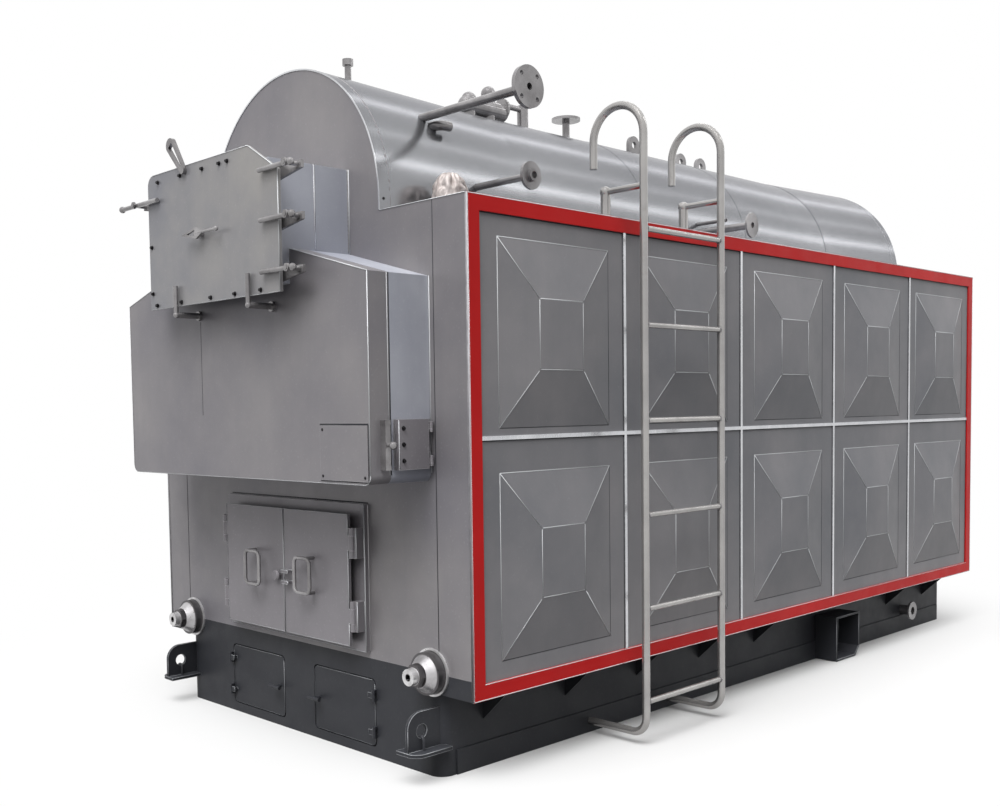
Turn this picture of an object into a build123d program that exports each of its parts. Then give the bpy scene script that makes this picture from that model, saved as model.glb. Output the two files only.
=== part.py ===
from build123d import *
import math
import os

# Packaged chain-grate boiler on a steel base, millimetres.
# +X is the ladder side, -Y the firing front, +Z up.
# The origin lies on the ground, in the middle of the base.

# Main casing
BODY_LENGTH = 4522
BODY_WIDTH = 2243
BODY_BOTTOM = 332
BODY_TOP = 2232
WALL = 60
CASING = 100
ROOF = 40
DECK = 40
SEAT = 0.3

# Base
BASE_LENGTH = 4466
BASE_WIDTH = 1868
PLATE = 12
FLOOR = 8
PAINT_TOP = 412
SILL_HEIGHT = 100
SILL_DEPTH = 45
BASE_CORNER = 60
BASE_RETURN = 20
SILL_PROUD = 6
GUSSET_FIRST = 230
GUSSET_PITCH = 500
GUSSET_DEPTH = 150
GUSSET_HEIGHT = 140
GUSSET = 8

# Upper drum casing
DRUM_RADIUS = 594
DRUM_CENTRE_Z = 2285
DRUM_SHELL = 60
END_PROUD = 26

# Side cladding: red frame, trim strips and stamped panels
FRAME_WIDTH = 62
FRAME_THICK = 12
STRIP_WIDTH = 16
STRIP_THICK = 9
FIRST_STRIP = 928
STRIP_PITCH = 900
STRIP_Z = 1325
SHEET = 4
STAMP_LENGTH = 660
STAMP_HEIGHT = 724
STAMP_TOP_LENGTH = 250
STAMP_TOP_HEIGHT = 265
STAMP_RISE = 34
STAMP_DROP = 28

# Furnace behind the fire doors
FURNACE_HALF = 480
LINING = 115
SPRING_Z = 780
LINING_BEHIND = 225

# Chain grate, a closed loop of bars on two chains over two sprocket shafts
GRATE_HALF = 470
GRATE_START = 60
GRATE_LENGTH = 3000
SHAFT_Z = 415
SHAFT_RADIUS = 28
SHAFT_HALF = 900
SPROCKET_RADIUS = 60
SPROCKET_WIDTH = 22
CHAIN_THICK = 14
CHAIN_X = 380
BAR_THICK = 20
BAR_GAP = 5
BAR_NOSE = 7
END_BARS = 3
SLOT_CLEAR = 10
BEARING_X = 850
BEARING_WIDTH = 60
BEARING_HALF = 55
BEARING_TOP = 30

# Fire doors
FIRE_HALF = 400
FIRE_BOTTOM = 500
FIRE_TOP = 980
FIRE_FRAME_HALF = 510
FIRE_FRAME_BOTTOM = 440
FIRE_FRAME_TOP = 1052
FIRE_FRAME_THICK = 22
LEAF_HALF = 458
LEAF_BOTTOM = 466
LEAF_TOP = 1012
LEAF_THICK = 40
LEAF_PLATE = 14
LEAF_INSET = 32
CLEAR = 6
HANDLE_WIDTH = 110
HANDLE_HEIGHT = 150
HANDLE_ROD = 8
HANDLE_CORNER = 26
HANDLE_REACH = 42
HANDLE_X = 190
HANDLE_Z = 738
LATCH_Z = 715
LATCH_RADIUS = 24
LATCH_REACH = 26
LATCH_X = 38

# Hinges
HINGE_PIN = 6
HINGE_PLAY = 0.4
HINGE_BARREL = 13
HINGE_HEIGHT = 125
HINGE_ARM = 14
HINGE_END = 1
HINGE_PLATE = 14
HINGE_FOOT = 8
ASH_FOOT = 5
FIRE_HINGE_LOW = 124
FIRE_HINGE_HIGH = 118

# Ash doors in the base
ASH_INNER = 118
ASH_OUTER = 533
ASH_BOTTOM = 48
ASH_TOP = 322
ASH_THICK = 10
ASH_PIN = 4
ASH_BARREL = 8
ASH_HINGE = 48
ASH_STRAP = 24
ASH_CORNER = 16
ASH_HINGE_EDGE = 60
ASH_GRIP_X = 32
ASH_GRIP_REACH = 34
ASH_GRIP_HALF = 40
ASH_GRIP_ROD = 8

# Wide front box, made of a collar and a tray-like cover
BOX_HALF = 900
BOX_BOTTOM = 1160
BOX_SHOULDER = 1946
BOX_SLOPE_TOP = 2078
BOX_DEPTH = 298
COLLAR_DEPTH = 198
BOX_SHEET = 6
BOX_CORNER = 34

# Upper smoke box and its bolted door
SMOKE_HALF = 420
SMOKE_BOTTOM = 1940
SMOKE_TOP = 2420
SMOKE_DEPTH = 386
SMOKE_DOOR_HALF = 500
SMOKE_DOOR_BOTTOM = 1897
SMOKE_DOOR_TOP = 2482
SMOKE_DOOR_THICK = 14
SMOKE_CUT_X = 200
SMOKE_CUT_Z = 120
SMOKE_CORNER = 45

# Swing bolts round the smoke box door, its lifting eye and its handle
DOG_ROD = 10
DOG_BOLT = 9
DOG_INWARD = 105
DOG_OUTWARD = 105
DOG_LONG = 215
DOG_PROUD = 14
DOG_BALL = 15
DOG_NUT = 17
DOG_LUG = 14
DOG_LUG_DROP = 44
DOG_PAD = 20
DOG_DEPTH = 48
SIDE_DOGS = (1978, 2176, 2368)
LEFT_DOG = 2368
HOOK_PLACES = (-260, 300)
HOOK_INWARD = 86
HOOK_DROP = 38
HOOK_TUBE = 13
HOOK_BOSS = 21
HOOK_BOSS_THICK = 12
EYE_X = -180
EYE_Z = 2462
EYE_LENGTH = 150
EYE_TOP = 31
EYE_FOOT = 17
EYE_SLOT = 8
EYE_THICK = 16
EYE_LEAN = 38
LEVER_Z = 2182
LEVER_HUB = -50
LEVER_LEFT = 115
LEVER_RIGHT = 150
LEVER_HALF = 24
LEVER_BOSS = 14
LEVER_TAIL = 6
LEVER_BAR = 0.52
LEVER_REACH = 34

# Access panel on the cover
PANEL_LENGTH = 290
PANEL_EDGE = 10
PANEL_BOTTOM = 1172
PANEL_TOP = 1382
PANEL_THICK = 4

# Side hatch on the collar
HATCH_FRONT = 186
HATCH_BACK = 34
HATCH_BOTTOM = 1212
HATCH_TOP = 1402
HATCH_LIP = 18
HATCH_THICK = 18
HATCH_BARREL = 10
HATCH_KNUCKLE = 10
HATCH_HINGE_EDGE = 30
HATCH_ARM = 4
HATCH_SWING = 18
LATCH_BAR_Y = 236
LATCH_BAR_HALF = 12
LATCH_BAR_THICK = 30
LATCH_BAR_EDGE = 18
LATCH_CAP = 16
KNOB_RADIUS = 15
KNOB_REACH = 28

# Ladder, with its braces placed above the roof
LADDER_OFF = 128.5
LADDER_FRONT = 888
LADDER_BACK = 1450
RAIL_RADIUS = 17
RUNG_RADIUS = 12
FIRST_RUNG = 190
RUNG_PITCH = 396
RUNGS = 6
FOOT_Z = 52
FOOT_BEND = 70
ARCH_Z = 2560
ARCH_RADIUS = 132
HOOK_END_Z = 2450
BRACE_Z = 113
BRACE_OFF = 71.5
BRACE_BALL = 24
BRACE_RADIUS = 13
STANCHION_RADIUS = 21

# Shaft tensioners on the front
CUP_X = 890
CUP_FLANGE = 95
CUP_RIM = 8
CUP_DRUM = 84
CUP_DRUM_REACH = 42
CUP_CONE = 74
CUP_CONE_REACH = 76
CUP_CONE_END = 50
CUP_NUT = 47
CUP_NUT_REACH = 98
CUP_NOSE = 33
CUP_NOSE_REACH = 127
CUP_SOCKET = 22
CUP_SOCKET_DEPTH = 30

# Tow brackets on the front of the base
TOW_SHELF_TOP = 130
TOW_INNER = 850
TOW_OUTER = 966
TOW_REACH = 158
TOW_CORNER = 50
TOW_EAR_X = 907
TOW_EAR_REACH = 152
TOW_EAR_HEIGHT = 150
TOW_EAR_CORNER = 66
TOW_HOLE = 28
TOW_HOLE_REACH = 82
TOW_HOLE_RISE = 74
TOW_PLATE = 12
STAPLE_ROD = 6
STAPLE_BEND = 18

# Air inlet box on the right of the base
DUCT_FRONT = 2860
DUCT_LENGTH = 262
DUCT_REACH = 136
DUCT_TOP = 250
DUCT_BOTTOM = 4
DUCT_SHEET = 8
DUCT_CHAMFER = 48

# Blowdown pipe behind the air inlet, placed from the back of the base
BLOWDOWN_Y = 521
BLOWDOWN_Z = 134
BLOWDOWN_END = 1008
BLOWDOWN_PIPE = 30
BLOWDOWN_FLANGE = 56
BLOWDOWN_BORE = 24

# Pipes through the drum casing
STEAM_Y = 380
STEAM_Z = 2685
STEAM_END = 1070
STEAM_PIPE = 18
STEAM_BORE = 14
STEAM_BORE_LENGTH = 120
STEAM_FLANGE = 82.5
STEAM_FLANGE_THICK = 18
STEAM_BOLT_CIRCLE = 62.5
STEAM_BOLT = 9
ELBOW_Y = 412
ELBOW_Z = 2648
ELBOW_PIPE = 21
ELBOW_WALL = 4
ELBOW_BEND = 34
ELBOW_REACH = 66
ELBOW_END = 470
FEED_Y = 570
FEED_Z = 2395
FEED_END = 908
FEED_PIPE = 15
FEED_FLANGE = 58
FEED_BOSS = 26
REAR_Y = 2250
REAR_Z = 2362
REAR_END = 905
REAR_PIPE = 19
REAR_LENS = 66
REAR_LENS_SHIFT = 10
DRAIN_PIPE = 10
DRAIN_RISE = 46
DRAIN_END = 760
BRANCH_FLANGE_THICK = 12

# Fittings on the crown of the drum casing, with heights above it
VENT_Y = 345
VENT_HEIGHT = 151
VENT_STEM = 15
VENT_HEAD = 25
VENT_HEAD_THICK = 28
TEE_Y = 1850
TEE_HEIGHT = 134
TEE_STEM = 20
TEE_FOOT = 34
TEE_HEAD = 78
TEE_HEAD_THICK = 14
LUG_PLACES = (2445, 2910, 3120)
LUG_RISES = (78, 46, 46)
LUG_RADIUS = 52
LUG_HOLE = 20
LUG_HALF = 9
HEADER_FRONT = 1096
HEADER_BACK = 1352
HEADER_RADIUS = 46
HEADER_Z = 79
HEADER_FOOT = 34
DOME_PLACES = (1110, 1250)
DOME_TOPS = (145, 197)
DOME_RADIUS = 38
HEADER_FLANGE = 56
HEADER_FLANGE_RISE = 17
ARM_Z = 121
ARM_RADIUS = 15
POST_Y = 1504
POST_RADIUS = 29
POST_CAP = 20

# Lagged stub on the front of the right roof
LAG_X = 715
LAG_Y = 300
LAG_LENGTH = 170
LAG_WIDTH = 150
LAG_HEIGHT = 165
LAG_WAIST = 92
LAG_WAIST_LENGTH = 142
LAG_WAIST_WIDTH = 130
LAG_TOP_LENGTH = 84
LAG_TOP_WIDTH = 72
LAG_LEAN = 30

# Flue outlet and cleaning cover on the rear wall
FLUE_Z = 1800
FLUE_RADIUS = 190
FLUE_SHEET = 8
FLUE_LENGTH = 110
FLUE_FLANGE = 40
FLUE_FLANGE_THICK = 12
COVER_HALF = 330
COVER_BOTTOM = 620
COVER_TOP = 1120
COVER_THICK = 14
COVER_CORNER = 40
COVER_GRIP_X = 210
COVER_GRIP_HALF = 70
COVER_GRIP_REACH = 45

# Worked-out places
FRONT = -BODY_LENGTH / 2
BACK = BODY_LENGTH / 2
HALF = BODY_WIDTH / 2
CLAD = HALF - FRAME_THICK
CASING_IN = CLAD - CASING
BASE_BACK = FRONT + BASE_LENGTH
BASE_HALF = BASE_WIDTH / 2
SIDE_START = FRONT + BASE_CORNER + BASE_RETURN
DECK_TOP = BODY_BOTTOM + DECK
INSIDE_FRONT = FRONT + WALL
INSIDE_BACK = BACK - WALL
BOX_FRONT = FRONT - BOX_DEPTH
COLLAR_FRONT = FRONT - COLLAR_DEPTH
SMOKE_FRONT = FRONT - SMOKE_DEPTH
SMOKE_DOOR_FRONT = SMOKE_FRONT - SMOKE_DOOR_THICK
LEAF_BACK = FRONT - FIRE_FRAME_THICK - CLEAR
LEAF_FRONT = LEAF_BACK - LEAF_THICK
LADDER_X = HALF + LADDER_OFF
BRACE_X = HALF - BRACE_OFF
CROWN = DRUM_CENTRE_Z + DRUM_RADIUS
LINK_RADIUS = SPROCKET_RADIUS + CHAIN_THICK
GRATE_RADIUS = LINK_RADIUS + BAR_THICK
BAR_PITCH = math.pi * LINK_RADIUS / END_BARS
STRAIGHT_BARS = int((GRATE_LENGTH - 2 * GRATE_RADIUS) // BAR_PITCH)
FRONT_SHAFT = INSIDE_FRONT + GRATE_START + GRATE_RADIUS
REAR_SHAFT = FRONT_SHAFT + STRAIGHT_BARS * BAR_PITCH
LAST_STRIP = BODY_LENGTH - FRAME_WIDTH - STAMP_LENGTH - STRIP_WIDTH
STRIPS = int((LAST_STRIP - FIRST_STRIP) // STRIP_PITCH) + 1
GUSSETS = int((BASE_LENGTH - GUSSET_FIRST) // GUSSET_PITCH) + 1


def block(x0, x1, y0, y1, z0, z1):
    """Box between two opposite corners."""
    size = Box(x1 - x0, y1 - y0, z1 - z0)
    return Pos((x0 + x1) / 2, (y0 + y1) / 2, (z0 + z1) / 2) * size


def rect(u0, u1, v0, v1):
    """Rectangle between two opposite corners."""
    return Pos((u0 + u1) / 2, (v0 + v1) / 2) * Rectangle(u1 - u0, v1 - v0)


def front_plate(face, y0, y1):
    """Face drawn in X and Z, thickened from y0 to y1."""
    return extrude(Plane.XZ.offset(-y1) * face, amount=y1 - y0)


def side_plate(face, x0, x1):
    """Face drawn in Y and Z, thickened from x0 to x1."""
    return extrude(Plane.YZ.offset(x0) * face, amount=x1 - x0)


def mirrored(shape):
    """The same shape on the other side of the boiler."""
    return mirror(shape, about=Plane.YZ)


def rod_x(x0, x1, y, z, radius):
    """Round bar along X."""
    return Pos((x0 + x1) / 2, y, z) * Rot(0, 90, 0) * Cylinder(radius, x1 - x0)


def rod_y(x, y0, y1, z, radius):
    """Round bar along Y."""
    return Pos(x, (y0 + y1) / 2, z) * Rot(90, 0, 0) * Cylinder(radius, y1 - y0)


def rod_z(x, y, z0, z1, radius):
    """Round bar along Z."""
    return Pos(x, y, (z0 + z1) / 2) * Cylinder(radius, z1 - z0)


def arch_face(radius, z_bottom, z_centre):
    """Half circle on straight legs, drawn in X and Z."""
    legs = Polyline((-radius, z_centre), (-radius, z_bottom), (radius, z_bottom), (radius, z_centre))
    crown = ThreePointArc((radius, z_centre), (0, z_centre + radius), (-radius, z_centre))
    return make_face(legs + crown)


def save(shape, name):
    """Write one named piece."""
    export_step(shape, os.path.join("parts", name + ".step"))


def group(shapes):
    """Several like pieces kept in one node."""
    return Compound(children=list(shapes))


# Base

def base_plan(inset, back):
    """Outline of the base from above, with rounded front corners, drawn in by inset."""
    half = BASE_HALF - inset
    plan = rect(-half, half, FRONT + inset, back)
    return fillet(plan.vertices().group_by(Axis.Y)[0], radius=BASE_CORNER - inset)


def base_front():
    """Front plate, bent back at both ends, with the painted band across the casing above it."""
    skirt = base_plan(0, SIDE_START) - base_plan(PLATE, SIDE_START)
    plate = extrude(skirt, amount=BODY_BOTTOM)
    plate += front_plate(rect(-CLAD, CLAD, BODY_BOTTOM, PAINT_TOP), FRONT, FRONT + PLATE)
    hole = rect(ASH_INNER - CLEAR, ASH_OUTER + CLEAR, ASH_BOTTOM - CLEAR, ASH_TOP + CLEAR)
    hole = front_plate(fillet(hole.vertices(), radius=ASH_CORNER + CLEAR), FRONT, FRONT + PLATE)
    plate -= hole
    plate -= mirrored(hole)
    return plate + hinge_posts(ash_hinges(), ASH_HINGE, ASH_PIN, ASH_BARREL, ASH_FOOT)


def base_side():
    """Web and sill of the right side, from the bent end of the front plate to the back plate."""
    y1 = BASE_BACK - PLATE
    web = block(BASE_HALF - PLATE, BASE_HALF, SIDE_START, y1, 0, BODY_BOTTOM)
    return web + block(BASE_HALF - SILL_DEPTH, BASE_HALF + SILL_PROUD, SIDE_START, y1, 0, SILL_HEIGHT)


def base_back():
    return block(-BASE_HALF, BASE_HALF, BASE_BACK - PLATE, BASE_BACK, 0, BODY_BOTTOM)


def gussets():
    """Triangular plates under the casing, left out where the air inlet stands."""
    plates = []
    for k in range(GUSSETS):
        y = FRONT + GUSSET_FIRST + k * GUSSET_PITCH
        if abs(y - (FRONT + DUCT_FRONT + DUCT_LENGTH / 2)) < DUCT_LENGTH:
            continue
        corner = Polyline(
            (BASE_HALF, BODY_BOTTOM), (BASE_HALF + GUSSET_DEPTH, BODY_BOTTOM),
            (BASE_HALF, BODY_BOTTOM - GUSSET_HEIGHT), (BASE_HALF, BODY_BOTTOM))
        plates.append(front_plate(make_face(corner), y, y + GUSSET))
    return plates


def base_floor():
    """Bottom plate of the ash pit, level with the underside of the base."""
    half = BASE_HALF - SILL_DEPTH
    back = BASE_BACK - PLATE
    plan = base_plan(PLATE + SEAT, back) & rect(-half, half, FRONT, back)
    return extrude(plan, amount=FLOOR)


def floor_deck():
    """Deck under the casing, slotted for the grate to pass through."""
    deck = block(-CLAD, CLAD, FRONT + PLATE, BACK, BODY_BOTTOM, DECK_TOP)
    slot_half = (GRATE_HALF + FURNACE_HALF) / 2
    slot_front = FRONT_SHAFT - GRATE_RADIUS - SLOT_CLEAR
    slot_back = REAR_SHAFT + GRATE_RADIUS + SLOT_CLEAR
    return deck - block(-slot_half, slot_half, slot_front, slot_back, BODY_BOTTOM, DECK_TOP)


def air_duct():
    """Open sheet box with one lower corner cut off."""
    y0 = FRONT + DUCT_FRONT
    outline = rect(y0, y0 + DUCT_LENGTH, DUCT_BOTTOM, DUCT_TOP)
    low_back = outline.vertices().group_by(Axis.Y)[0].sort_by(Axis.X)[-1]
    outline = chamfer(low_back, length=DUCT_CHAMFER)
    x0 = BASE_HALF + SILL_PROUD
    outer = side_plate(outline, x0, BASE_HALF + DUCT_REACH)
    hollow = offset(outline, amount=-DUCT_SHEET, kind=Kind.INTERSECTION)
    return outer - side_plate(hollow, x0 + DUCT_SHEET, BASE_HALF + DUCT_REACH)


def tow_staple():
    """Bent bar that straddles the ear, through its hole and down to the shelf on both sides."""
    y = FRONT - TOW_HOLE_REACH
    z = TOW_SHELF_TOP + TOW_HOLE_RISE - TOW_HOLE + STAPLE_ROD - STAPLE_BEND - SEAT
    bend = Pos(TOW_EAR_X, y, z) * Rot(90, 0, 0) * Torus(STAPLE_BEND, STAPLE_ROD)
    reach = STAPLE_BEND + STAPLE_ROD
    bend -= block(TOW_EAR_X - reach, TOW_EAR_X + reach, y - reach, y + reach, z - reach, z)
    for side in (-1, 1):
        bend += rod_z(TOW_EAR_X + side * STAPLE_BEND, y, TOW_SHELF_TOP, z, STAPLE_ROD)
    return bend


def tow_bracket():
    """Shelf with a rounded outer corner that carries an upright ear and its staple."""
    seat = FRONT + BASE_CORNER / 2
    base = extrude(base_plan(-SEAT, SIDE_START), amount=BODY_BOTTOM)
    plan = rect(TOW_INNER, TOW_OUTER, FRONT - TOW_REACH, seat)
    outer_corner = plan.vertices().group_by(Axis.Y)[0].sort_by(Axis.X)[-1]
    plan = fillet(outer_corner, radius=TOW_CORNER)
    shelf = extrude(Plane.XY.offset(TOW_SHELF_TOP - TOW_PLATE) * plan, amount=TOW_PLATE)
    face = rect(FRONT - TOW_EAR_REACH, seat, TOW_SHELF_TOP, TOW_SHELF_TOP + TOW_EAR_HEIGHT)
    outer_top = face.vertices().group_by(Axis.Y)[-1].sort_by(Axis.X)[0]
    face = fillet(outer_top, radius=TOW_EAR_CORNER)
    face -= Pos(FRONT - TOW_HOLE_REACH, TOW_SHELF_TOP + TOW_HOLE_RISE) * Circle(TOW_HOLE)
    ear = side_plate(face, TOW_EAR_X - TOW_PLATE / 2, TOW_EAR_X + TOW_PLATE / 2)
    return shelf + ear - base + tow_staple()


def tensioner():
    """Stepped cup, cone and nose turned about one axis, with a hexagon nut and a square socket."""
    profile = Polyline(
        (0, 0), (CUP_FLANGE, 0), (CUP_FLANGE, CUP_RIM), (CUP_DRUM, CUP_RIM), (CUP_DRUM, CUP_DRUM_REACH),
        (CUP_CONE, CUP_DRUM_REACH), (CUP_CONE_END, CUP_CONE_REACH), (CUP_NOSE, CUP_CONE_REACH),
        (CUP_NOSE, CUP_NOSE_REACH), (0, CUP_NOSE_REACH), (0, 0))
    cup = revolve(make_face(profile), Axis.Y)
    nut_face = Plane.XZ.offset(-CUP_NUT_REACH) * RegularPolygon(CUP_NUT, 6)
    cup += extrude(nut_face, amount=CUP_NUT_REACH - CUP_CONE_REACH)
    socket_face = Plane.XZ.offset(-CUP_NOSE_REACH) * Rectangle(CUP_SOCKET, CUP_SOCKET)
    cup -= extrude(socket_face, amount=CUP_SOCKET_DEPTH)
    return Pos(CUP_X, FRONT, SHAFT_Z) * Rot(0, 0, 180) * cup


# Main casing

def front_wall():
    face = rect(-CLAD, CLAD, PAINT_TOP, BODY_TOP)
    face += arch_face(DRUM_RADIUS + END_PROUD, BODY_TOP - ROOF, DRUM_CENTRE_Z)
    face -= rect(-FIRE_HALF, FIRE_HALF, FIRE_BOTTOM, FIRE_TOP)
    return front_plate(face, FRONT, INSIDE_FRONT)


def rear_wall():
    face = rect(-CLAD, CLAD, DECK_TOP, BODY_TOP)
    face += arch_face(DRUM_RADIUS + END_PROUD, BODY_TOP - ROOF, DRUM_CENTRE_Z)
    face -= Pos(0, FLUE_Z) * Circle(FLUE_RADIUS - FLUE_SHEET)
    return front_plate(face, INSIDE_BACK, BACK)


def flue_outlet():
    """Round collar with a flange, where the flue joins the rear wall."""
    pipe = Circle(FLUE_RADIUS) - Circle(FLUE_RADIUS - FLUE_SHEET)
    ring = Circle(FLUE_RADIUS + FLUE_FLANGE) - Circle(FLUE_RADIUS - FLUE_SHEET)
    end = BACK + FLUE_LENGTH
    collar = front_plate(Pos(0, FLUE_Z) * pipe, BACK, end)
    return collar + front_plate(Pos(0, FLUE_Z) * ring, end - FLUE_FLANGE_THICK, end)


def rear_cover():
    """Bolted cleaning cover with two grips."""
    face = rect(-COVER_HALF, COVER_HALF, COVER_BOTTOM, COVER_TOP)
    face = fillet(face.vertices(), radius=COVER_CORNER)
    cover = front_plate(face, BACK, BACK + COVER_THICK)
    zc = (COVER_BOTTOM + COVER_TOP) / 2
    y_grip = BACK + COVER_THICK + COVER_GRIP_REACH
    for side in (-1, 1):
        x = side * COVER_GRIP_X
        for z in (zc - COVER_GRIP_HALF, zc + COVER_GRIP_HALF):
            cover += rod_y(x, BACK + COVER_THICK, y_grip, z, HANDLE_ROD)
            cover += Pos(x, y_grip, z) * Sphere(HANDLE_ROD)
        cover += rod_z(x, y_grip, zc - COVER_GRIP_HALF, zc + COVER_GRIP_HALF, HANDLE_ROD)
    return cover


def side_casing():
    return block(CASING_IN, CLAD, INSIDE_FRONT, INSIDE_BACK, DECK_TOP, BODY_TOP)


def roof_deck():
    return block(DRUM_RADIUS, CASING_IN, INSIDE_FRONT, INSIDE_BACK, BODY_TOP - ROOF, BODY_TOP)


def drum_casing():
    outer = arch_face(DRUM_RADIUS, BODY_TOP - ROOF, DRUM_CENTRE_Z)
    inner = arch_face(DRUM_RADIUS - DRUM_SHELL, BODY_TOP - ROOF, DRUM_CENTRE_Z)
    return front_plate(outer - inner, INSIDE_FRONT, INSIDE_BACK)


def side_frame():
    outer = rect(FRONT, BACK, BODY_BOTTOM, BODY_TOP)
    inner = rect(FRONT + FRAME_WIDTH, BACK - FRAME_WIDTH, BODY_BOTTOM + FRAME_WIDTH, BODY_TOP - FRAME_WIDTH)
    return side_plate(outer - inner, CLAD, HALF)


def strip_places():
    return [FRONT + FIRST_STRIP + k * STRIP_PITCH for k in range(STRIPS)]


def trim_strips():
    low = BODY_BOTTOM + FRAME_WIDTH
    high = BODY_TOP - FRAME_WIDTH
    half = STRIP_WIDTH / 2
    face = rect(FRONT + FRAME_WIDTH, BACK - FRAME_WIDTH, STRIP_Z - half, STRIP_Z + half)
    for y in strip_places():
        face += rect(y - half, y + half, low, high)
    return side_plate(face, CLAD, CLAD + STRIP_THICK)


def stamped_panel(y0, y1, z0, z1):
    """Sheet with a raised, blunt pyramid pressed into it."""
    yc = (y0 + y1) / 2
    zc = (z0 + z1) / 2 - STAMP_DROP

    def pyramid(base, shrink):
        foot = Plane.YZ.offset(base) * (Pos(yc, zc) * Rectangle(STAMP_LENGTH - shrink, STAMP_HEIGHT - shrink))
        top = Plane.YZ.offset(base + STAMP_RISE) * (
            Pos(yc, zc) * Rectangle(STAMP_TOP_LENGTH - shrink / 2, STAMP_TOP_HEIGHT - shrink / 2))
        return loft([foot, top])

    sheet = side_plate(rect(y0, y1, z0, z1), CLAD, CLAD + SHEET)
    return sheet + pyramid(CLAD + SHEET, 0) - pyramid(CLAD, SHEET * 6)


def panels():
    half = STRIP_WIDTH / 2
    edges = [FRONT + FRAME_WIDTH - half] + strip_places() + [BACK - FRAME_WIDTH + half]
    rows = ((BODY_BOTTOM + FRAME_WIDTH, STRIP_Z - half), (STRIP_Z + half, BODY_TOP - FRAME_WIDTH))
    sheets = []
    for z0, z1 in rows:
        for y0, y1 in zip(edges, edges[1:]):
            sheets.append(stamped_panel(y0 + half, y1 - half, z0, z1))
    return sheets


# Furnace

def furnace_lining():
    y0 = INSIDE_FRONT
    y1 = y0 + GRATE_START + GRATE_LENGTH + LINING_BEHIND + LINING
    outer = arch_face(FURNACE_HALF + LINING, DECK_TOP, SPRING_Z)
    inner = arch_face(FURNACE_HALF, DECK_TOP, SPRING_Z)
    lining = front_plate(outer - inner, y0, y1) + front_plate(inner, y1 - LINING, y1)
    for y in (FRONT_SHAFT, REAR_SHAFT):
        lining -= rod_x(-SHAFT_HALF, SHAFT_HALF, y, SHAFT_Z, SHAFT_RADIUS + SLOT_CLEAR)
    return lining


def grate_bar(turn, y, z):
    """One cross bar standing outward from the chain, with a nose and a tail that follow its neighbours."""
    half = (BAR_PITCH - BAR_GAP) / 2
    outline = Polyline(
        (-half, -CHAIN_THICK / 2), (half, -CHAIN_THICK / 2), (half, BAR_THICK - BAR_NOSE),
        (half - BAR_NOSE, BAR_THICK), (BAR_NOSE - half, BAR_THICK), (-half, BAR_THICK - BAR_NOSE),
        (-half, -CHAIN_THICK / 2))
    bar = extrude(Plane.YZ.offset(-GRATE_HALF) * make_face(outline), amount=2 * GRATE_HALF)
    return Pos(0, y, z) * Rot(turn, 0, 0) * bar


def race_track(radius):
    """Outline of a band round both sprocket shafts, drawn in Y and Z."""
    ends = Pos(FRONT_SHAFT, SHAFT_Z) * Circle(radius) + Pos(REAR_SHAFT, SHAFT_Z) * Circle(radius)
    return ends + rect(FRONT_SHAFT, REAR_SHAFT, SHAFT_Z - radius, SHAFT_Z + radius)


def chain_grate():
    """Closed loop: a straight run above, one below, and bars that turn round each shaft."""
    bars = []
    for k in range(STRAIGHT_BARS + 1):
        y = FRONT_SHAFT + k * BAR_PITCH
        bars.append(grate_bar(0, y, SHAFT_Z + LINK_RADIUS))
        bars.append(grate_bar(180, y, SHAFT_Z - LINK_RADIUS))
    for y, first in ((FRONT_SHAFT, 0), (REAR_SHAFT, 180)):
        for k in range(1, END_BARS):
            turn = first + k * 180 / END_BARS
            back = LINK_RADIUS * math.sin(math.radians(turn))
            rise = LINK_RADIUS * math.cos(math.radians(turn))
            bars.append(grate_bar(turn, y - back, SHAFT_Z + rise))
    band = race_track(LINK_RADIUS) - race_track(SPROCKET_RADIUS)
    chains = [side_plate(band, x - SPROCKET_WIDTH / 2, x + SPROCKET_WIDTH / 2) for x in (-CHAIN_X, CHAIN_X)]
    return chains[0].fuse(chains[1], *bars)


def grate_shaft(y):
    """Shaft with two sprockets inside the chains and a bearing block on the deck at each end."""
    shaft = rod_x(-SHAFT_HALF, SHAFT_HALF, y, SHAFT_Z, SHAFT_RADIUS)
    for x in (-CHAIN_X, CHAIN_X):
        shaft += rod_x(x - SPROCKET_WIDTH / 2, x + SPROCKET_WIDTH / 2, y, SHAFT_Z, SPROCKET_RADIUS - SEAT)
    for x in (-BEARING_X, BEARING_X):
        shaft += block(x - BEARING_WIDTH / 2, x + BEARING_WIDTH / 2, y - BEARING_HALF, y + BEARING_HALF,
                       DECK_TOP, SHAFT_Z + BEARING_TOP)
    return shaft


# Hinges, each a fixed pin with two end knuckles and a moving barrel between them

def fire_hinges():
    y = LEAF_FRONT + LEAF_PLATE / 2
    x = LEAF_HALF + HINGE_BARREL + CLEAR
    heights = (LEAF_BOTTOM + FIRE_HINGE_LOW, LEAF_TOP - FIRE_HINGE_HIGH)
    return [(side * x, y, z, FRONT - FIRE_FRAME_THICK) for side in (-1, 1) for z in heights]


def ash_hinges():
    y = FRONT - ASH_BARREL - CLEAR
    x = ASH_OUTER + ASH_BARREL
    heights = (ASH_BOTTOM + ASH_HINGE_EDGE, ASH_TOP - ASH_HINGE_EDGE)
    return [(side * x, y, z, FRONT) for side in (-1, 1) for z in heights]


def hinge_posts(hinges, height, pin, barrel, foot):
    """Pins, end knuckles and the feet that carry them."""
    posts = Part()
    knuckle = height / 4
    for x, y, z, seat in hinges:
        posts += rod_z(x, y, z - height / 2, z + height / 2, pin)
        for z0 in (z - height / 2, z + height / 2 - knuckle):
            posts += rod_z(x, y, z0, z0 + knuckle, barrel)
            posts += block(x - foot, x + foot, y, seat, z0, z0 + knuckle)
    return posts


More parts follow.
